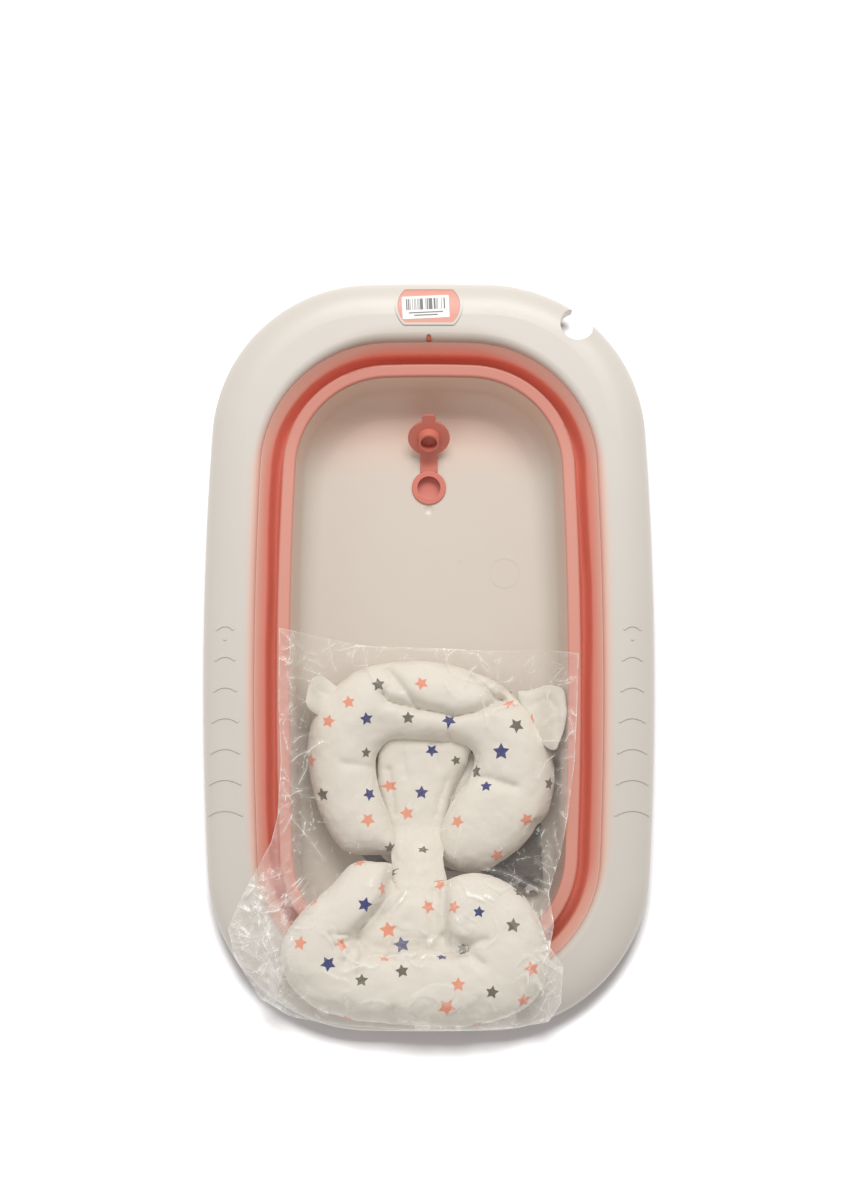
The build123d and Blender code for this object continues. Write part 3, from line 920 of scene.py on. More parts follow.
def press(obj, creases, above):
    """Presses sewn or folded lines into the upper side. A crease is (line, depth, width), in metres."""
    points = read_points(obj)
    upper = ease(points[:, 2], above - 6 * MM, above + 4 * MM)
    for line, depth, width in creases:
        away = distance_to_line(points[:, :2], line, False)
        points[:, 2] -= depth * np.exp(-away / width) * upper
    write_points(obj, points)


def wrinkle(obj, amount, seed, scale=34.0):
    """Small soft folds over the whole piece, along the surface's own direction outward."""
    points = read_points(obj)
    normals = read_normals(obj)
    lift = np.array([
        noise.fractal(Vector((x * scale, y * scale, z * scale + seed)), 0.7, 2.1, 3) for x, y, z in points
    ])
    write_points(obj, points + normals * (lift * amount)[:, None])


def finer(obj):
    modifier = obj.modifiers.new("finer", "SUBSURF")
    modifier.levels = 1
    modifier.render_levels = 1
    apply_modifiers(obj)


def plan(points_mm):
    """Plan points given in millimetres."""
    return np.array(points_mm, dtype=float) * MM


INKS = {
    "salmon": colour(228, 150, 122),
    "navy": colour(64, 68, 116),
    "grey": colour(112, 104, 92),
}


def star_frame(centre, normal, turn):
    """A printed star's centre, its two directions along the cloth and the one outward."""
    side = Vector((1, 0, 0)) - normal * normal.x
    if side.length < 0.2:
        side = Vector((0, 1, 0)) - normal * normal.y
    side.normalize()
    ahead = normal.cross(side)
    cos, sin = math.cos(math.radians(turn)), math.sin(math.radians(turn))
    turned_side, turned_ahead = side * cos + ahead * sin, ahead * cos - side * sin
    return np.array(centre), np.array(turned_side), np.array(turned_ahead), np.array(normal)


def star_edge_distance(points, place, radius):
    """Signed distance to the outline of a five-pointed star lying on the surface, negative inside."""
    centre, side, ahead, normal = place
    away = points - centre
    u, v = away @ side, away @ ahead
    turn = np.mod(np.arctan2(u, v), 2 * math.pi / 5)
    turn = np.minimum(turn, 2 * math.pi / 5 - turn)
    reach = np.hypot(u, v)
    px, py = reach * np.cos(turn), reach * np.sin(turn)
    dip = 0.50 * radius
    tip_to_dip = np.array([dip * math.cos(math.pi / 5) - radius, dip * math.sin(math.pi / 5)])
    tip_to_dip /= np.linalg.norm(tip_to_dip)
    across = (px - radius) * -tip_to_dip[1] + py * tip_to_dip[0]
    across = -across if across[np.argmax(reach)] < 0 else across
    sunk = np.abs(away @ normal)
    return np.where(sunk < 1.3 * radius, across, 0.02)


def print_stars(obj, listed, seed, spacing=42 * MM):
    """Prints the listed stars from above, then scatters more over the sides and the underside."""
    obj.data.calc_loop_triangles()
    tree = BVHTree.FromObject(obj, bpy.context.evaluated_depsgraph_get())
    stars = []
    for x, y, turn, ink, size in listed:
        hit, normal, _, _ = tree.ray_cast(Vector((x * MM, y * MM, 0.3)), Vector((0, 0, -1)))
        if hit is None:
            hit, normal, _, _ = tree.find_nearest(Vector((x * MM, y * MM, 0.05)))
        stars.append((star_frame(hit, normal, turn), size * MM, ink))
    draw = random.Random(seed)
    points = read_points(obj)
    normals = read_normals(obj)
    order = list(range(len(points)))
    draw.shuffle(order)
    taken = [np.array(place[0]) for place, _, _ in stars]
    for index in order[:1500]:
        point, normal = points[index], normals[index]
        if normal[2] > 0.25 or any(np.linalg.norm(point - other) < spacing for other in taken):
            continue
        taken.append(point)
        place = star_frame(point, Vector(normal), draw.uniform(-36, 36))
        stars.append((place, draw.uniform(7.2, 8.4) * MM, draw.choice(["salmon", "navy", "grey", "salmon"])))
    refine_near(obj, [place[0] for place, _, _ in stars], 11.5 * MM)
    points = read_points(obj)
    edge = np.full(len(points), 0.02)
    ink_of = np.zeros((len(points), 4))
    ink_of[:] = INKS["salmon"]
    nearest = np.full(len(points), 1e9)
    for place, radius, ink in stars:
        away = np.linalg.norm(points - place[0], axis=1)
        close = away < np.minimum(nearest, 1.6 * radius)
        if not close.any():
            continue
        edge[close] = star_edge_distance(points[close], place, radius)
        ink_of[close] = INKS[ink]
        nearest[close] = away[close]
    store_values(obj, "star_edge", edge)
    stored = obj.data.attributes.new("star_ink", "FLOAT_COLOR", "POINT")
    stored.data.foreach_set("color", ink_of.astype(np.float32).ravel())


def refine_near(obj, centres, reach):
    """Divides the faces near each printed star, so that its edges come out crisp."""
    activate(obj)
    bpy.ops.object.mode_set(mode="EDIT")
    bpy.ops.mesh.select_all(action="DESELECT")
    shape = bmesh.from_edit_mesh(obj.data)
    centres = np.array(centres)
    for face in shape.faces:
        middle = np.array(face.calc_center_median())
        face.select = bool((np.linalg.norm(centres - middle, axis=1) < reach).any())
    bmesh.update_edit_mesh(obj.data)
    bpy.ops.mesh.subdivide(number_cuts=2)
    bpy.ops.object.mode_set(mode="OBJECT")


# ---- head half of the cushion ----
head_outline = smooth_loop(plan([
    (-72, -17), (-45, -10), (-10, -8), (30, -15), (71, -30), (106, -58), (129, -90), (138, -120), (139, -148),
    (131, -180), (104, -214), (78, -233), (58, -241), (33, -240), (19, -231), (15, -214), (17, -190), (27, -165),
    (42, -140), (49, -122), (47, -111), (36, -103), (0, -98), (-36, -97), (-52, -104), (-59, -120), (-57, -142),
    (-49, -172), (-41, -196), (-38, -212), (-44, -221), (-68, -221), (-93, -217), (-108, -202), (-122, -177),
    (-131, -147), (-134, -115), (-132, -88), (-123, -60), (-102, -35),
]))
head_low, head_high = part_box("cushion_head_ring")
head_middle = (head_low.z + head_high.z) / 2
head_half = (head_high.z - head_low.z) / 2
head = slab("cushion_head", head_outline, head_low.z, head_high.z)
voxel(head, 5 * MM)
crown_up(head, head_outline, head_middle, head_half, 40 * MM)
voxel(head, 4.5 * MM)
relax(head, 3)
inflate(head, 7 * MM)
finer(head)
press(head, [
    (plan([(-46, -18), (-37, -29), (-27, -42), (-17, -54), (-12, -60)]), 9 * MM, 4 * MM),
    (
        plan([(-50, -46), (-45, -53), (-32, -57), (-12, -61), (7, -65), (17, -67), (27, -70), (52, -65), (80, -51)]),
        15 * MM, 5.5 * MM,
    ),
    (plan([(-93, -122), (-75, -124), (-60, -126)]), 4 * MM, 4 * MM),
    (plan([(50, -136), (64, -138), (93, -147)]), 8 * MM, 4.5 * MM),
    (plan([(22, -92), (34, -104), (50, -120)]), 6 * MM, 4 * MM),
    (plan([(48, -22), (58, -33), (72, -48), (84, -52)]), 10 * MM, 4 * MM),
], head_middle)
wrinkle(head, 1.1 * MM, 3.0)
print_stars(head, [
    (-8.0, -34.3, 23.9, "salmon", 8.2), (-110.2, -75.8, -13.2, "salmon", 8.2), (127.9, -94.5, -0.7, "salmon", 8.0),
    (-129.9, -118.2, -1.3, "salmon", 9.0), (-66.5, -183.6, -33.3, "salmon", 8.8),
    (31.1, -185.2, -28.4, "salmon", 8.2),
    (106.8, -183.3, 22.8, "salmon", 8.4), (74.8, -222.0, 24.6, "salmon", 8.6), (-88.0, -55.0, 8.0, "salmon", 8.0),
    (88.0, -56.0, 24.0, "salmon", 8.2), (-68.2, -73.3, 8.2, "navy", 7.8), (22.3, -74.5, 30.0, "navy", 8.4),
    (79.0, -109.3, 0.0, "navy", 10.0), (62.6, -146.7, -4.0, "navy", 7.2), (-64.9, -155.5, 32.6, "navy", 7.8),
    (-55.5, -35.5, 8.0, "grey", 8.0), (-22.6, -72.1, 0.6, "grey", 7.6), (96.2, -80.6, 34.8, "grey", 9.0),
    (-68.6, -110.2, -6.0, "grey", 6.6), (51.7, -129.8, -9.6, "grey", 8.0), (132.1, -144.0, -17.9, "grey", 7.8),
    (-116.3, -156.1, 20.1, "grey", 8.6), (-42.0, -214.1, -5.3, "grey", 7.2),
], 11)
smooth_faces(head)
dress(head, star_print, "tray", ["cushion_head_ring"])

# ---- back layer of the cushion, seen between the flap and the right arm ----
base_outline = smooth_loop(plan([
    (-60, -88), (0, -84), (60, -92), (72, -130), (58, -170), (44, -205), (36, -236), (0, -232), (-50, -226),
    (-64, -170),
]))
base = slab("cushion_back_layer", base_outline, 15 * MM, 24 * MM)
voxel(base, 3.5 * MM)
crown_up(base, base_outline, 19.5 * MM, 4.5 * MM, 14 * MM, floor_share=0.3)
wrinkle(base, 1.6 * MM, 9.0, 24.0)
relax(base, 2)
finer(base)
print_stars(base, [(40.0, -152.0, 20.0, "grey", 7.0)], 21)
smooth_faces(base)
dress(base, star_print, "tray")

# ---- the flap that runs from the head half up to the seat half ----
FLAP_HALF_THICK = 11 * MM
FLAP_CLIMB = 68 * MM
flap_outline = smooth_loop(plan([
    (-48, -90), (0, -86), (47, -92), (44, -112), (40, -127), (33, -139), (26, -158), (23, -182), (18, -205),
    (16, -226), (19, -250), (17, -266), (-8, -270), (-36, -266), (-40, -246), (-41, -226), (-42, -200),
    (-48, -172), (-56, -142), (-57, -120),
    (-54, -104),
]))
tongue_low, tongue_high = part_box("cushion_head_tongue")
flap_middle = (tongue_low.z + tongue_high.z) / 2 - 6 * MM
flap = slab("cushion_flap", flap_outline, flap_middle - FLAP_HALF_THICK, flap_middle + FLAP_HALF_THICK)
voxel(flap, 3.5 * MM)
crown_up(flap, flap_outline, flap_middle, FLAP_HALF_THICK, 22 * MM, floor_share=0.2)
relax(flap, 3)
finer(flap)
press(flap, [
    (plan([(20, -196), (21, -182), (24, -162), (32, -140), (40, -128)]), 7 * MM, 4.5 * MM),
    (plan([(8, -178), (13, -158), (20, -140)]), 3.5 * MM, 5.0 * MM),
    (plan([(-44, -128), (-41, -150), (-38, -176)]), 5 * MM, 4.0 * MM),
    (plan([(-28, -112), (-26, -134)]), 2.5 * MM, 4.0 * MM),
    (plan([(4, -100), (10, -124)]), 3.0 * MM, 4.0 * MM),
    (plan([(-42, -216), (-36, -226), (-22, -236), (-6, -240)]), 5 * MM, 5.0 * MM),
    (plan([(16, -214), (8, -226), (-6, -234)]), 3.0 * MM, 5.0 * MM),
], flap_middle)
flap_points = read_points(flap)
climb = 1 - ease(flap_points[:, 1], -0.262, -0.188)
flap_points[:, 2] += climb * FLAP_CLIMB
write_points(flap, flap_points)
wrinkle(flap, 1.2 * MM, 5.0, 30.0)
print_stars(flap, [
    (-24.1, -175.9, 13.2, "salmon", 8.4), (-8.1, -153.2, -2.2, "navy", 8.0), (-6.3, -215.8, -10.8, "grey", 7.0),
    (3.2, -107.0, -36.0, "navy", 7.4), (-44.0, -146.0, 20.0, "salmon", 7.6), (30.0, -118.0, 14.0, "grey", 6.0),
    (13.0, -254.5, -35.8, "salmon", 7.6),
], 31)
smooth_faces(flap)
dress(flap, star_print, None, ["cushion_head_tongue"])
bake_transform(flap)


# ---- the two ears ----
def make_ear(name, outline, stands_for, creases, seed):
    ear = slab(name, outline, 40 * MM, 52 * MM)
    voxel(ear, 2.6 * MM)
    crown_up(ear, outline, 46 * MM, 6 * MM, 16 * MM, floor_share=0.25)
    relax(ear, 2)
    press(ear, creases, 46 * MM)
    points = read_points(ear)
    points[:, 2] += ease(np.abs(points[:, 0]), 0.112, 0.152) * 30 * MM
    write_points(ear, points)
    wrinkle(ear, 0.8 * MM, seed, 40.0)
    finer(ear)
    print_stars(ear, [], seed, 60 * MM)
    smooth_faces(ear)
    dress(ear, star_print, "tray", [stands_for])
    return ear


ear_right = make_ear(
    "cushion_ear_right_padded",
    smooth_loop(
        plan([(98, -46), (110, -42), (130, -36), (146, -41), (150, -60), (149, -80), (143, -98), (136, -108), (118, -92)]),
    ),
    "cushion_ear_right",
    [(plan([(112, -58), (130, -50), (140, -62), (141, -92)]), 2.5 * MM, 3.0 * MM)],
    41,
)
ear_left = make_ear(
    "cushion_ear_left_padded",
    smooth_loop(plan([(-88, -50), (-100, -38), (-116, -26), (-128, -28), (-134, -46), (-132, -62), (-112, -70)])),
    "cushion_ear_left",
    [(plan([(-100, -50), (-122, -42)]), 2.0 * MM, 3.0 * MM)],
    43,
)

# ---- seat half of the cushion ----
seat_outline = smooth_loop(plan([
    (-42, -226), (-66, -224), (-88, -229), (-111, -253), (-134, -275), (-150, -298), (-159, -322), (-156, -345),
    (-146, -363), (-119, -386), (-84, -398), (-40, -404), (12, -406), (48, -404), (76, -399), (100, -387),
    (115, -373), (126, -352), (129, -331), (124, -301), (105, -268), (82, -248), (59, -240), (38, -240), (18, -243),
    (-12, -246), (-36, -244), (-40, -235),
]))
hollow_line = plan([
    (-43, -226), (-43.5, -248), (-45, -265), (-53, -277), (-64, -290), (-76, -303), (-75, -312), (-65, -325),
    (-45, -329), (-22, -326), (1, -325), (19, -327), (34, -325), (38, -317), (27, -311), (17, -300), (16, -280),
    (18, -255), (22, -242),
])
crown_y = rim_low.y + 34 * MM
seat_far = -0.226


def seat_lift(y):
    """How far the seat half is tipped up at a given place along the bath."""
    return (seat_far - y) / (seat_far - crown_y) * 15 * MM


seat_middle, seat_half_thick = 105 * MM, 23 * MM
seat = slab("cushion_seat", seat_outline, seat_middle - seat_half_thick, seat_middle + seat_half_thick)
voxel(seat, 5 * MM)
crown_up(seat, seat_outline, seat_middle, seat_half_thick, 38 * MM)
voxel(seat, 4.5 * MM)
relax(seat, 3)
seat_points = read_points(seat)
inside_hollow = inside_loop(seat_points, hollow_line)
to_edge = distance_to_line(seat_points[:, :2], hollow_line, False)
signed = np.where(inside_hollow, to_edge, -to_edge)
above = ease(seat_points[:, 2], seat_middle - 2 * MM, seat_middle + 8 * MM)
sink = 21 * MM * ease(signed, -9 * MM, 11 * MM)
ridge = 5.0 * MM * np.exp(-((signed - 24 * MM) / (13 * MM)) ** 2)
seat_points[:, 2] -= (sink - ridge) * above
write_points(seat, seat_points)
inflate(seat, 6 * MM)
finer(seat)
press(seat, [
    (plan([(-43, -224), (-43.5, -248), (-45, -265), (-53, -277), (-64, -290), (-76, -303)]), 13 * MM, 5.0 * MM),
    (plan([(22, -240), (18.5, -254), (16.5, -269), (16, -290), (16, -308)]), 12 * MM, 4.5 * MM),
    (
        plan([(-76, -310), (-65, -326), (-45, -329), (-22, -325), (1, -323.5), (19, -327), (30, -327), (40, -320)]),
        13 * MM, 5.0 * MM,
    ),
    (plan([(-78, -309), (-98, -318)]), 6 * MM, 4.0 * MM),
    (plan([(-77, -312), (-88, -334)]), 6 * MM, 4.0 * MM),
    (plan([(-70, -322), (-73, -346)]), 5 * MM, 3.5 * MM),
    (plan([(-82, -306), (-104, -305)]), 4 * MM, 3.5 * MM),
    (plan([(41, -317), (60, -311)]), 6 * MM, 4.0 * MM),
    (plan([(40, -322), (57, -336)]), 6 * MM, 4.0 * MM),
    (plan([(-40, -329), (-38, -342)]), 2.5 * MM, 3.0 * MM),
    (plan([(2, -325), (6, -338)]), 2.5 * MM, 3.0 * MM),
    (plan([(24, -328), (33, -343)]), 3.0 * MM, 3.0 * MM),
], seat_middle - 5 * MM)
wrinkle(seat, 1.1 * MM, 13.0)
seat_points = read_points(seat)
seat_points[:, 2] += seat_lift(seat_points[:, 1])
write_points(seat, seat_points)
print_stars(seat, [
    (-73.7, -230.0, -26.7, "salmon", 8.4), (-48.9, -257.5, 27.7, "salmon", 8.2),
    (12.0, -255.0, -35.8, "salmon", 7.6),
    (-0.5, -276.5, 32.0, "salmon", 8.2), (26.0, -276.5, -22.0, "salmon", 7.8), (-43.1, -300.7, 6.5, "salmon", 9.8),
    (-135.6, -314.3, -15.0, "salmon", 8.4), (-93.3, -314.3, 25.0, "salmon", 6.6),
    (-46.5, -331.0, 0.0, "salmon", 7.0),
    (108.6, -341.1, 16.4, "salmon", 9.0), (31.0, -357.0, 0.0, "salmon", 8.2), (100.1, -373.9, -1.0, "salmon", 8.8),
    (19.0, -380.6, -31.9, "salmon", 10.2), (-114.3, -386.1, 19.3, "salmon", 8.0),
    (-50.5, -398.7, -33.4, "salmon", 8.0),
    (-67.3, -274.0, -14.6, "navy", 8.6), (53.0, -281.7, -6.5, "navy", 6.8), (-28.5, -316.2, 10.6, "navy", 9.4),
    (-105.6, -335.5, 31.3, "navy", 8.8), (14.0, -329.0, 10.0, "navy", 7.0), (-106.0, -256.0, -20.0, "grey", 8.4),
    (-70.4, -352.5, -2.0, "grey", 7.6), (-27.9, -343.0, 10.0, "grey", 7.8), (35.9, -319.0, -5.0, "grey", 6.8),
    (89.1, -295.8, -5.0, "grey", 8.6), (66.5, -364.9, -10.2, "grey", 7.6), (96.0, -262.0, 12.0, "grey", 7.6),
    (22.9, -245.0, 30.0, "grey", 7.0),
], 51)
smooth_faces(seat)
dress(seat, star_print, "rim", ["cushion_seat_ring", "cushion_seat_pad"])


# ---- felt backing ----
def grid_sheet(name, low, high, step):
    """A flat grid over a plan box."""
    width, length = high[0] - low[0], high[1] - low[1]
    deselect()
    bpy.ops.mesh.primitive_grid_add(
        x_subdivisions=max(2, round(width / step)), y_subdivisions=max(2, round(length / step)), size=1.0
    )
    made = bpy.context.object
    made.name = name
    points = read_points(made)
    points[:, 0] = (low[0] + high[0]) / 2 + points[:, 0] * width
    points[:, 1] = (low[1] + high[1]) / 2 + points[:, 1] * length
    write_points(made, points)
    return made


def cut_outside(obj, loop):
    """Removes the faces of a grid outside a plan outline, then draws its ragged edge onto the outline."""
    activate(obj)
    bpy.ops.object.mode_set(mode="EDIT")
    shape = bmesh.from_edit_mesh(obj.data)
    middles = np.array([face.calc_center_median()[:2] for face in shape.faces])
    keep = inside_loop(middles, loop)
    for face, kept in zip(shape.faces, keep):
        face.select = not kept
    bmesh.update_edit_mesh(obj.data)
    bpy.ops.mesh.delete(type="FACE")
    bpy.ops.mesh.select_all(action="SELECT")
    bpy.ops.object.mode_set(mode="OBJECT")
    shape = bmesh.new()
    shape.from_mesh(obj.data)
    rim_points = [vert.index for vert in shape.verts if vert.is_boundary]
    shape.free()
    points = read_points(obj)
    for index in rim_points:
        best, place = 1e9, None
        for start, stop in zip(loop, np.roll(loop, -1, axis=0)):
            run = stop - start
            share = np.clip(((points[index, :2] - start) @ run) / max(run @ run, 1e-12), 0, 1)
            spot = start + share * run
            away = np.linalg.norm(points[index, :2] - spot)
            if away < best:
                best, place = away, spot
        points[index, :2] = place
    write_points(obj, points)


felt_outline = plan([
    (-98, -40), (92, -40), (104, -120), (115, -176), (124, -186), (125, -248), (121, -254), (103, -256), (74, -247),
    (60, -240), (-60, -236), (-96, -200),
])
felt = grid_sheet("felt_backing", felt_outline.min(0), felt_outline.max(0), 3 * MM)
cut_outside(felt, felt_outline)
felt_points = read_points(felt)
fold_ridge = plan([(70, -222), (93.5, -225.2), (108, -238), (122, -253)])
near_fold = np.exp(-(distance_to_line(felt_points[:, :2], fold_ridge, False) / (13 * MM)) ** 1.4)
corner = ease(felt_points[:, 0], 0.058, 0.100) * ease(felt_points[:, 1], -0.165, -0.215)
felt_points[:, 2] = floor_top + 2.0 * MM + corner * (10 * MM + near_fold * 13 * MM)
felt_points[:, 2] += np.array([noise.noise(Vector((x * 60, y * 60, 4.0))) for x, y, _ in felt_points]) * 1.2 * MM * corner
write_points(felt, felt_points)
felt_thick = felt.modifiers.new("thick", "SOLIDIFY")
felt_thick.thickness = 1.6 * MM
felt_thick.offset = 1.0
apply_modifiers(felt)
fix_normals(felt)
smooth_faces(felt, 35)
dress(felt, felt_grey, "tray", ["cushion_backing"])

# ---- clear bag ----
FILM_GAP = 2.2 * MM
FILM_STREAK_LIFT = 2.2 * MM
LOOSE_GAP = 14 * MM
LARGE_FACET, SMALL_FACET = 30 * MM, 11 * MM
NO_LINE = 10 * MM
film_outline = plan([
    (-163, 24), (-120, 16), (-60, 8), (0, 6), (70, 4), (120, 2), (163, -4), (161, -60), (158, -120), (150, -180),
    (142, -222), (128, -262), (133, -296), (128, -319), (142, -338), (140, -378), (127, -397), (92, -403),
    (40, -405),
    (-30, -404), (-84, -400), (-112, -397), (-147, -391), (-179, -373), (-208, -330), (-215, -300), (-198, -262),
    (-182, -232), (-170, -208), (-163, -180), (-160, -120), (-163, -60),
])
FILM_STEP = 1.4 * MM
film = grid_sheet("clear_bag", film_outline.min(0), film_outline.max(0), FILM_STEP)
cut_outside(film, film_outline)


def support_heights(spots, names):
    """The height of the highest surface under each plan spot."""
    scene_graph = bpy.context.evaluated_depsgraph_get()
    trees = [BVHTree.FromObject(obj, scene_graph) for obj in names]
    heights = np.full(len(spots), floor_top)
    down = Vector((0, 0, -1))
    for index, (x, y) in enumerate(spots):
        for tree in trees:
            hit = tree.ray_cast(Vector((x, y, 0.4)), down)[0]
            if hit is not None and hit.z > heights[index]:
                heights[index] = hit.z
    return heights


under_film = [head, flap, base, ear_left, ear_right, seat, felt, outer_skin, inner_skin] + [
    frame["nodes"][name] for name in ("tray", "tray_ring", "rim")
]
COARSE = 5 * MM
low_x, low_y = film_outline.min(0) - COARSE
high_x, high_y = film_outline.max(0) + COARSE
xs = np.arange(low_x, high_x + COARSE, COARSE)
ys = np.arange(low_y, high_y + COARSE, COARSE)
spots = np.array([(x, y) for y in ys for x in xs])
below = support_heights(spots, under_film).reshape(len(ys), len(xs))
taut = below.copy()
SLOPE = 0.75
for _ in range(60):
    grown = taut.copy()
    for dy in (-1, 0, 1):
        for dx in (-1, 0, 1):
            if dx or dy:
                moved = np.roll(np.roll(taut, dy, axis=0), dx, axis=1) - SLOPE * COARSE * math.hypot(dx, dy)
                if dy:
                    moved[0 if dy > 0 else -1, :] = 0
                if dx:
                    moved[:, 0 if dx > 0 else -1] = 0
                grown = np.maximum(grown, moved)
    if np.abs(grown - taut).max() < 1e-6:
        break
    taut = grown
for _ in range(3):
    padded_taut = np.pad(taut, 1, mode="edge")
    mean = sum(
        padded_taut[down:down + taut.shape[0], over:over + taut.shape[1]] for down in range(3) for over in range(3)
    ) / 9
    taut = np.maximum(mean, below + 0.4 * MM)


def look_up(table, points):
    """A height table's value at each plan point, smoothed between its cells."""
    fx = np.clip((points[:, 0] - low_x) / COARSE, 0, len(xs) - 1.001)
    fy = np.clip((points[:, 1] - low_y) / COARSE, 0, len(ys) - 1.001)
    ix, iy = fx.astype(int), fy.astype(int)
    rx, ry = fx - ix, fy - iy
    return (
        table[iy, ix] * (1 - rx) * (1 - ry) + table[iy, ix + 1] * rx * (1 - ry)
        + table[iy + 1, ix] * (1 - rx) * ry + table[iy + 1, ix + 1] * rx * ry
    )


def facet_field(points, seed, spacing):
    """Flat facets between straight creases: heights at scattered corners joined by triangles.

    Gives each point's height, its distance to the nearest crease and its facet's own number.
    """
    draw = random.Random(seed)
    low, high = film_outline.min(0) - spacing, film_outline.max(0) + spacing
    corners = []
    for y in np.arange(low[1], high[1], spacing):
        for x in np.arange(low[0], high[0], spacing):
            corners.append((x + draw.uniform(-0.42, 0.42) * spacing, y + draw.uniform(-0.42, 0.42) * spacing))
    heights = np.array([draw.uniform(-1, 1) for _ in corners])
    made = delaunay_2d_cdt([Vector(corner) for corner in corners], [], [], 0, 1e-7)
    spots, faces, origins = made[0], made[2], made[3]
    spot_heights = np.array([heights[origin[0]] for origin in origins])
    result = np.zeros(len(points))
    crease = np.full(len(points), 1.0)
    number = np.zeros(len(points))
    for face in faces:
        a, b, c = (np.array(spots[i]) for i in face)
        reach_low, reach_high = np.min([a, b, c], axis=0), np.max([a, b, c], axis=0)
        near = np.where(
            (points[:, 0] >= reach_low[0]) & (points[:, 0] <= reach_high[0])
            & (points[:, 1] >= reach_low[1]) & (points[:, 1] <= reach_high[1])
        )[0]
        if not len(near):
            continue
        full = (b[0] - a[0]) * (c[1] - a[1]) - (c[0] - a[0]) * (b[1] - a[1])
        p = points[near, :2]
        wb = ((p[:, 0] - a[0]) * (c[1] - a[1]) - (c[0] - a[0]) * (p[:, 1] - a[1])) / full
        wc = ((b[0] - a[0]) * (p[:, 1] - a[1]) - (p[:, 0] - a[0]) * (b[1] - a[1])) / full
        wa = 1 - wb - wc
        held = (wa >= -1e-9) & (wb >= -1e-9) & (wc >= -1e-9)
        index = near[held]
        hs = [spot_heights[i] for i in face]
        result[index] = wa[held] * hs[0] + wb[held] * hs[1] + wc[held] * hs[2]
        sides = [np.linalg.norm(c - b), np.linalg.norm(c - a), np.linalg.norm(b - a)]
        gap = np.min([w[held] * abs(full) / s for w, s in zip((wa, wb, wc), sides)], axis=0)
        crease[index] = gap
        number[index] = draw.random()
    return result, crease, number


film_points = read_points(film)
rest_height = look_up(below, film_points)
held_height = look_up(taut, film_points)
loose = np.clip((held_height - rest_height) / LOOSE_GAP, 0, 1)
over_left = ease(-film_points[:, 0], 0.128, 0.165) * ease(-film_points[:, 1], 0.180, 0.275)
over_right = ease(film_points[:, 0], 0.108, 0.130) * ease(-film_points[:, 1], 0.255, 0.300) * 0.8
side_strip = 0.45 * ease(np.abs(film_points[:, 0]), 0.134, 0.152)
flare = np.maximum(np.maximum(over_left, over_right), side_strip)
loose = np.maximum(loose, over_left)
large, large_crease, large_number = facet_field(film_points, 5, LARGE_FACET)
small, small_crease, small_number = facet_field(film_points, 6, SMALL_FACET)
film_points[:, 2] = held_height + FILM_GAP
film_points[:, 2] += (large + 1) * (0.8 + 2.2 * loose) * MM + (small + 1) * (0.25 + 1.3 * loose) * MM
write_points(film, film_points)
# The crease distances stored here let the film's material draw its white crease lines: partly the creased film's own
# whitening, partly painted highlights.
line_share = np.where(large_number > 0.35, large_crease, NO_LINE)
fine_share = np.where((loose > 0.35) & (small_number > 0.3), small_crease, NO_LINE)
for key, values in (
    ("film_loose", loose),
    ("film_flare", flare),
    ("film_crease", np.minimum(line_share, NO_LINE)),
    ("film_fine_crease", np.minimum(fine_share, NO_LINE)),
    ("film_facet", large_number),
    ("film_small_facet", small_number),
):
    store_values(film, key, values)
# Streak lines, listed: the film is lifted a little along them, and its material paints highlights and a glow along
# them and along the bag's edge.
streaks = [
    [(-96, 8), (-70, 22), (-40, 24), (-14, 20), (6, 12)],
    [(-74, 14), (-68, -14), (-58, -32), (-42, -44), (-26, -46)],
    [(-118, 0), (-98, 12), (-76, 12)],
    [(6, 12), (30, 6), (52, 0), (66, -14), (72, -20)],
    [(110, 4), (128, 8)],
    [(158, 12), (164, 8), (168, 14)],
    [(18, -34), (26, -46), (36, -52)],
    [(58, -48), (62, -66), (64, -82)],
    [(64, -40), (76, -34), (92, -30)],
    [(142, -176), (158, -196), (160, -224), (150, -246)],
    [(116, -228), (140, -236), (156, -218), (150, -202)],
    [(60, -236), (84, -242), (104, -252), (124, -262)],
    [(-160, 20), (-150, 6), (-154, -24), (-148, -44)],
    [(-150, -60), (-158, -84), (-152, -110)],
    [(-156, -150), (-146, -172), (-158, -200)],
    [(-150, -180), (-128, -206), (-112, -226)],
    [(-190, -270), (-170, -282), (-150, -276), (-132, -262)],
    [(-206, -306), (-186, -312), (-168, -334), (-156, -356)],
    [(-196, -340), (-176, -350), (-158, -372), (-140, -384)],
    [(-174, -300), (-162, -326), (-158, -350)],
    [(116, -300), (128, -318), (120, -340), (134, -362)],
    [(124, -372), (112, -392), (90, -400)],
]
crease_draw = random.Random(17)
for x_low, x_high, y_low, y_high, count, reach in (
    (-160, -128, -40, 20, 9, 22), (-160, -132, -225, -60, 18, 24), (-205, -150, -365, -235, 22, 26),
    (-120, 60, 4, 22, 7, 34), (132, 160, -190, -20, 14, 22), (118, 150, -262, -196, 9, 24),
    (112, 138, -398, -290, 14, 20), (-120, 110, -60, -10, 6, 20), (-100, 100, -395, -290, 8, 18),
):
    for _ in range(count):
        x, y = crease_draw.uniform(x_low, x_high), crease_draw.uniform(y_low, y_high)
        turn = crease_draw.uniform(0, math.tau)
        run = [(x, y)]
        for _ in range(crease_draw.choice((2, 3, 3, 4))):
            turn += crease_draw.uniform(-0.7, 0.7)
            step = reach * crease_draw.uniform(0.25, 0.55)
            x, y = x + math.cos(turn) * step, y + math.sin(turn) * step
            run.append((x, y))
        streaks.append(run)
streak_away = np.full(len(film_points), NO_LINE)
for streak in streaks:
    streak_away = np.minimum(streak_away, distance_to_line(film_points[:, :2], smooth_run(plan(streak)), False))
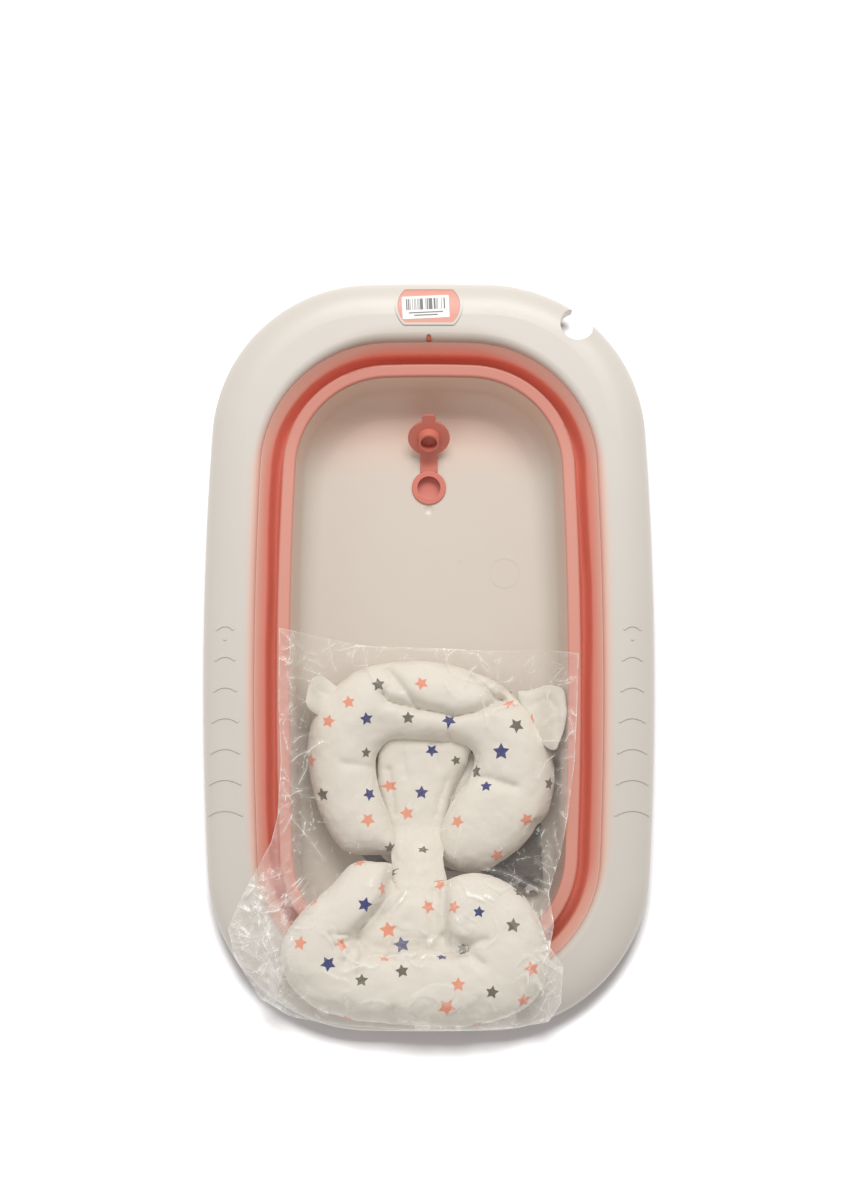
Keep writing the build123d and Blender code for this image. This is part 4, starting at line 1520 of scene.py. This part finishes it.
edge_away = distance_to_line(film_points[:, :2], film_outline, True)
streak_away = np.minimum(streak_away, edge_away)
store_values(film, "film_streak", streak_away)
film_points = read_points(film)
film_points[:, 2] += FILM_STREAK_LIFT * np.exp(-(streak_away / (3.0 * MM)) ** 1.2)
write_points(film, film_points)
smooth_faces(film, 25)
dress(film, film_clear, None, ["bag_over_head", "bag_over_seat"])
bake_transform(film)

# ---- floor, light and camera ----
CAMERA_PLACE = (0.0035, -0.2329, 2.691)
CAMERA_TILT = math.radians(6.5)
SENSOR_MM = 36
FRAME_HEIGHT = 1184
FOCAL_IN_FRAME_UNITS = 2400
SKY_STRENGTH = 0.52
deselect()
bpy.ops.mesh.primitive_plane_add(size=14.0, location=(0, 0, 0))
ground = bpy.context.object
ground.name = "studio_floor"
ground_finish = Finish("studio_floor_white")
ground_mottle = cloud(ground_finish.tree, ground_finish.place, 3.0)
ground_tones = (0.71, 0.71, 0.71, 1.0), (0.69, 0.69, 0.69, 1.0)
ground_finish.put("Base Color", blend_colour(ground_finish.tree, ground_mottle, *ground_tones))
ground_finish.shader.inputs["Roughness"].default_value = 0.9
ground_finish.shader.inputs["Emission Color"].default_value = WHITE
ground_finish.shader.inputs["Emission Strength"].default_value = 0.02
ground.data.materials.append(ground_finish.material)

world = bpy.data.worlds.new("studio_sky")
bpy.context.scene.world = world
world.use_nodes = True
world.node_tree.nodes["Background"].inputs["Color"].default_value = (1.0, 0.995, 0.985, 1.0)
world.node_tree.nodes["Background"].inputs["Strength"].default_value = SKY_STRENGTH


def softbox(name, place, aim, size, power):
    """A rectangular lamp of a size in metres and a power in watts, turned to its aim."""
    light = bpy.data.lights.new(name, "AREA")
    light.shape = "RECTANGLE"
    light.size, light.size_y = size
    light.energy = power
    made = bpy.data.objects.new(name, light)
    bpy.context.scene.collection.objects.link(made)
    made.location = place
    made.rotation_euler = (Vector(aim) - Vector(place)).to_track_quat("-Z", "Y").to_euler()
    return made


def shine_only_on(light, objects, name):
    """Keeps a softbox to some of the objects."""
    group = bpy.data.collections.new(name)
    for obj in objects:
        group.objects.link(obj)
    light.light_linking.receiver_collection = group


key_light = softbox("key_softbox", (0.2, 1.74, 2.33), (0, 0, 0), (1.8, 1.1), 56)
fill_light = softbox("fill_softbox", (-1.9, -0.6, 2.0), (0, -0.1, 0), (1.6, 2.2), 6)
floor_light = softbox("floor_softbox", (0.0, 0.42, 2.95), (0, 0, 0), (0.5, 0.4), 125)
shine_only_on(floor_light, [ground], "floor_only")
shine_only_on(
    key_light, [obj for obj in bpy.context.scene.objects if obj.type == "MESH" and obj != ground],
    "object_only",
)

camera = bpy.data.cameras.new("camera")
camera.sensor_fit = "AUTO"
camera.sensor_width = SENSOR_MM
camera.lens = SENSOR_MM * FOCAL_IN_FRAME_UNITS / FRAME_HEIGHT
camera_object = bpy.data.objects.new("camera", camera)
bpy.context.scene.collection.objects.link(camera_object)
camera_object.location = CAMERA_PLACE
camera_object.rotation_euler = (CAMERA_TILT, 0, 0)
bpy.context.scene.camera = camera_object
bpy.context.scene.view_settings.view_transform = "Standard"
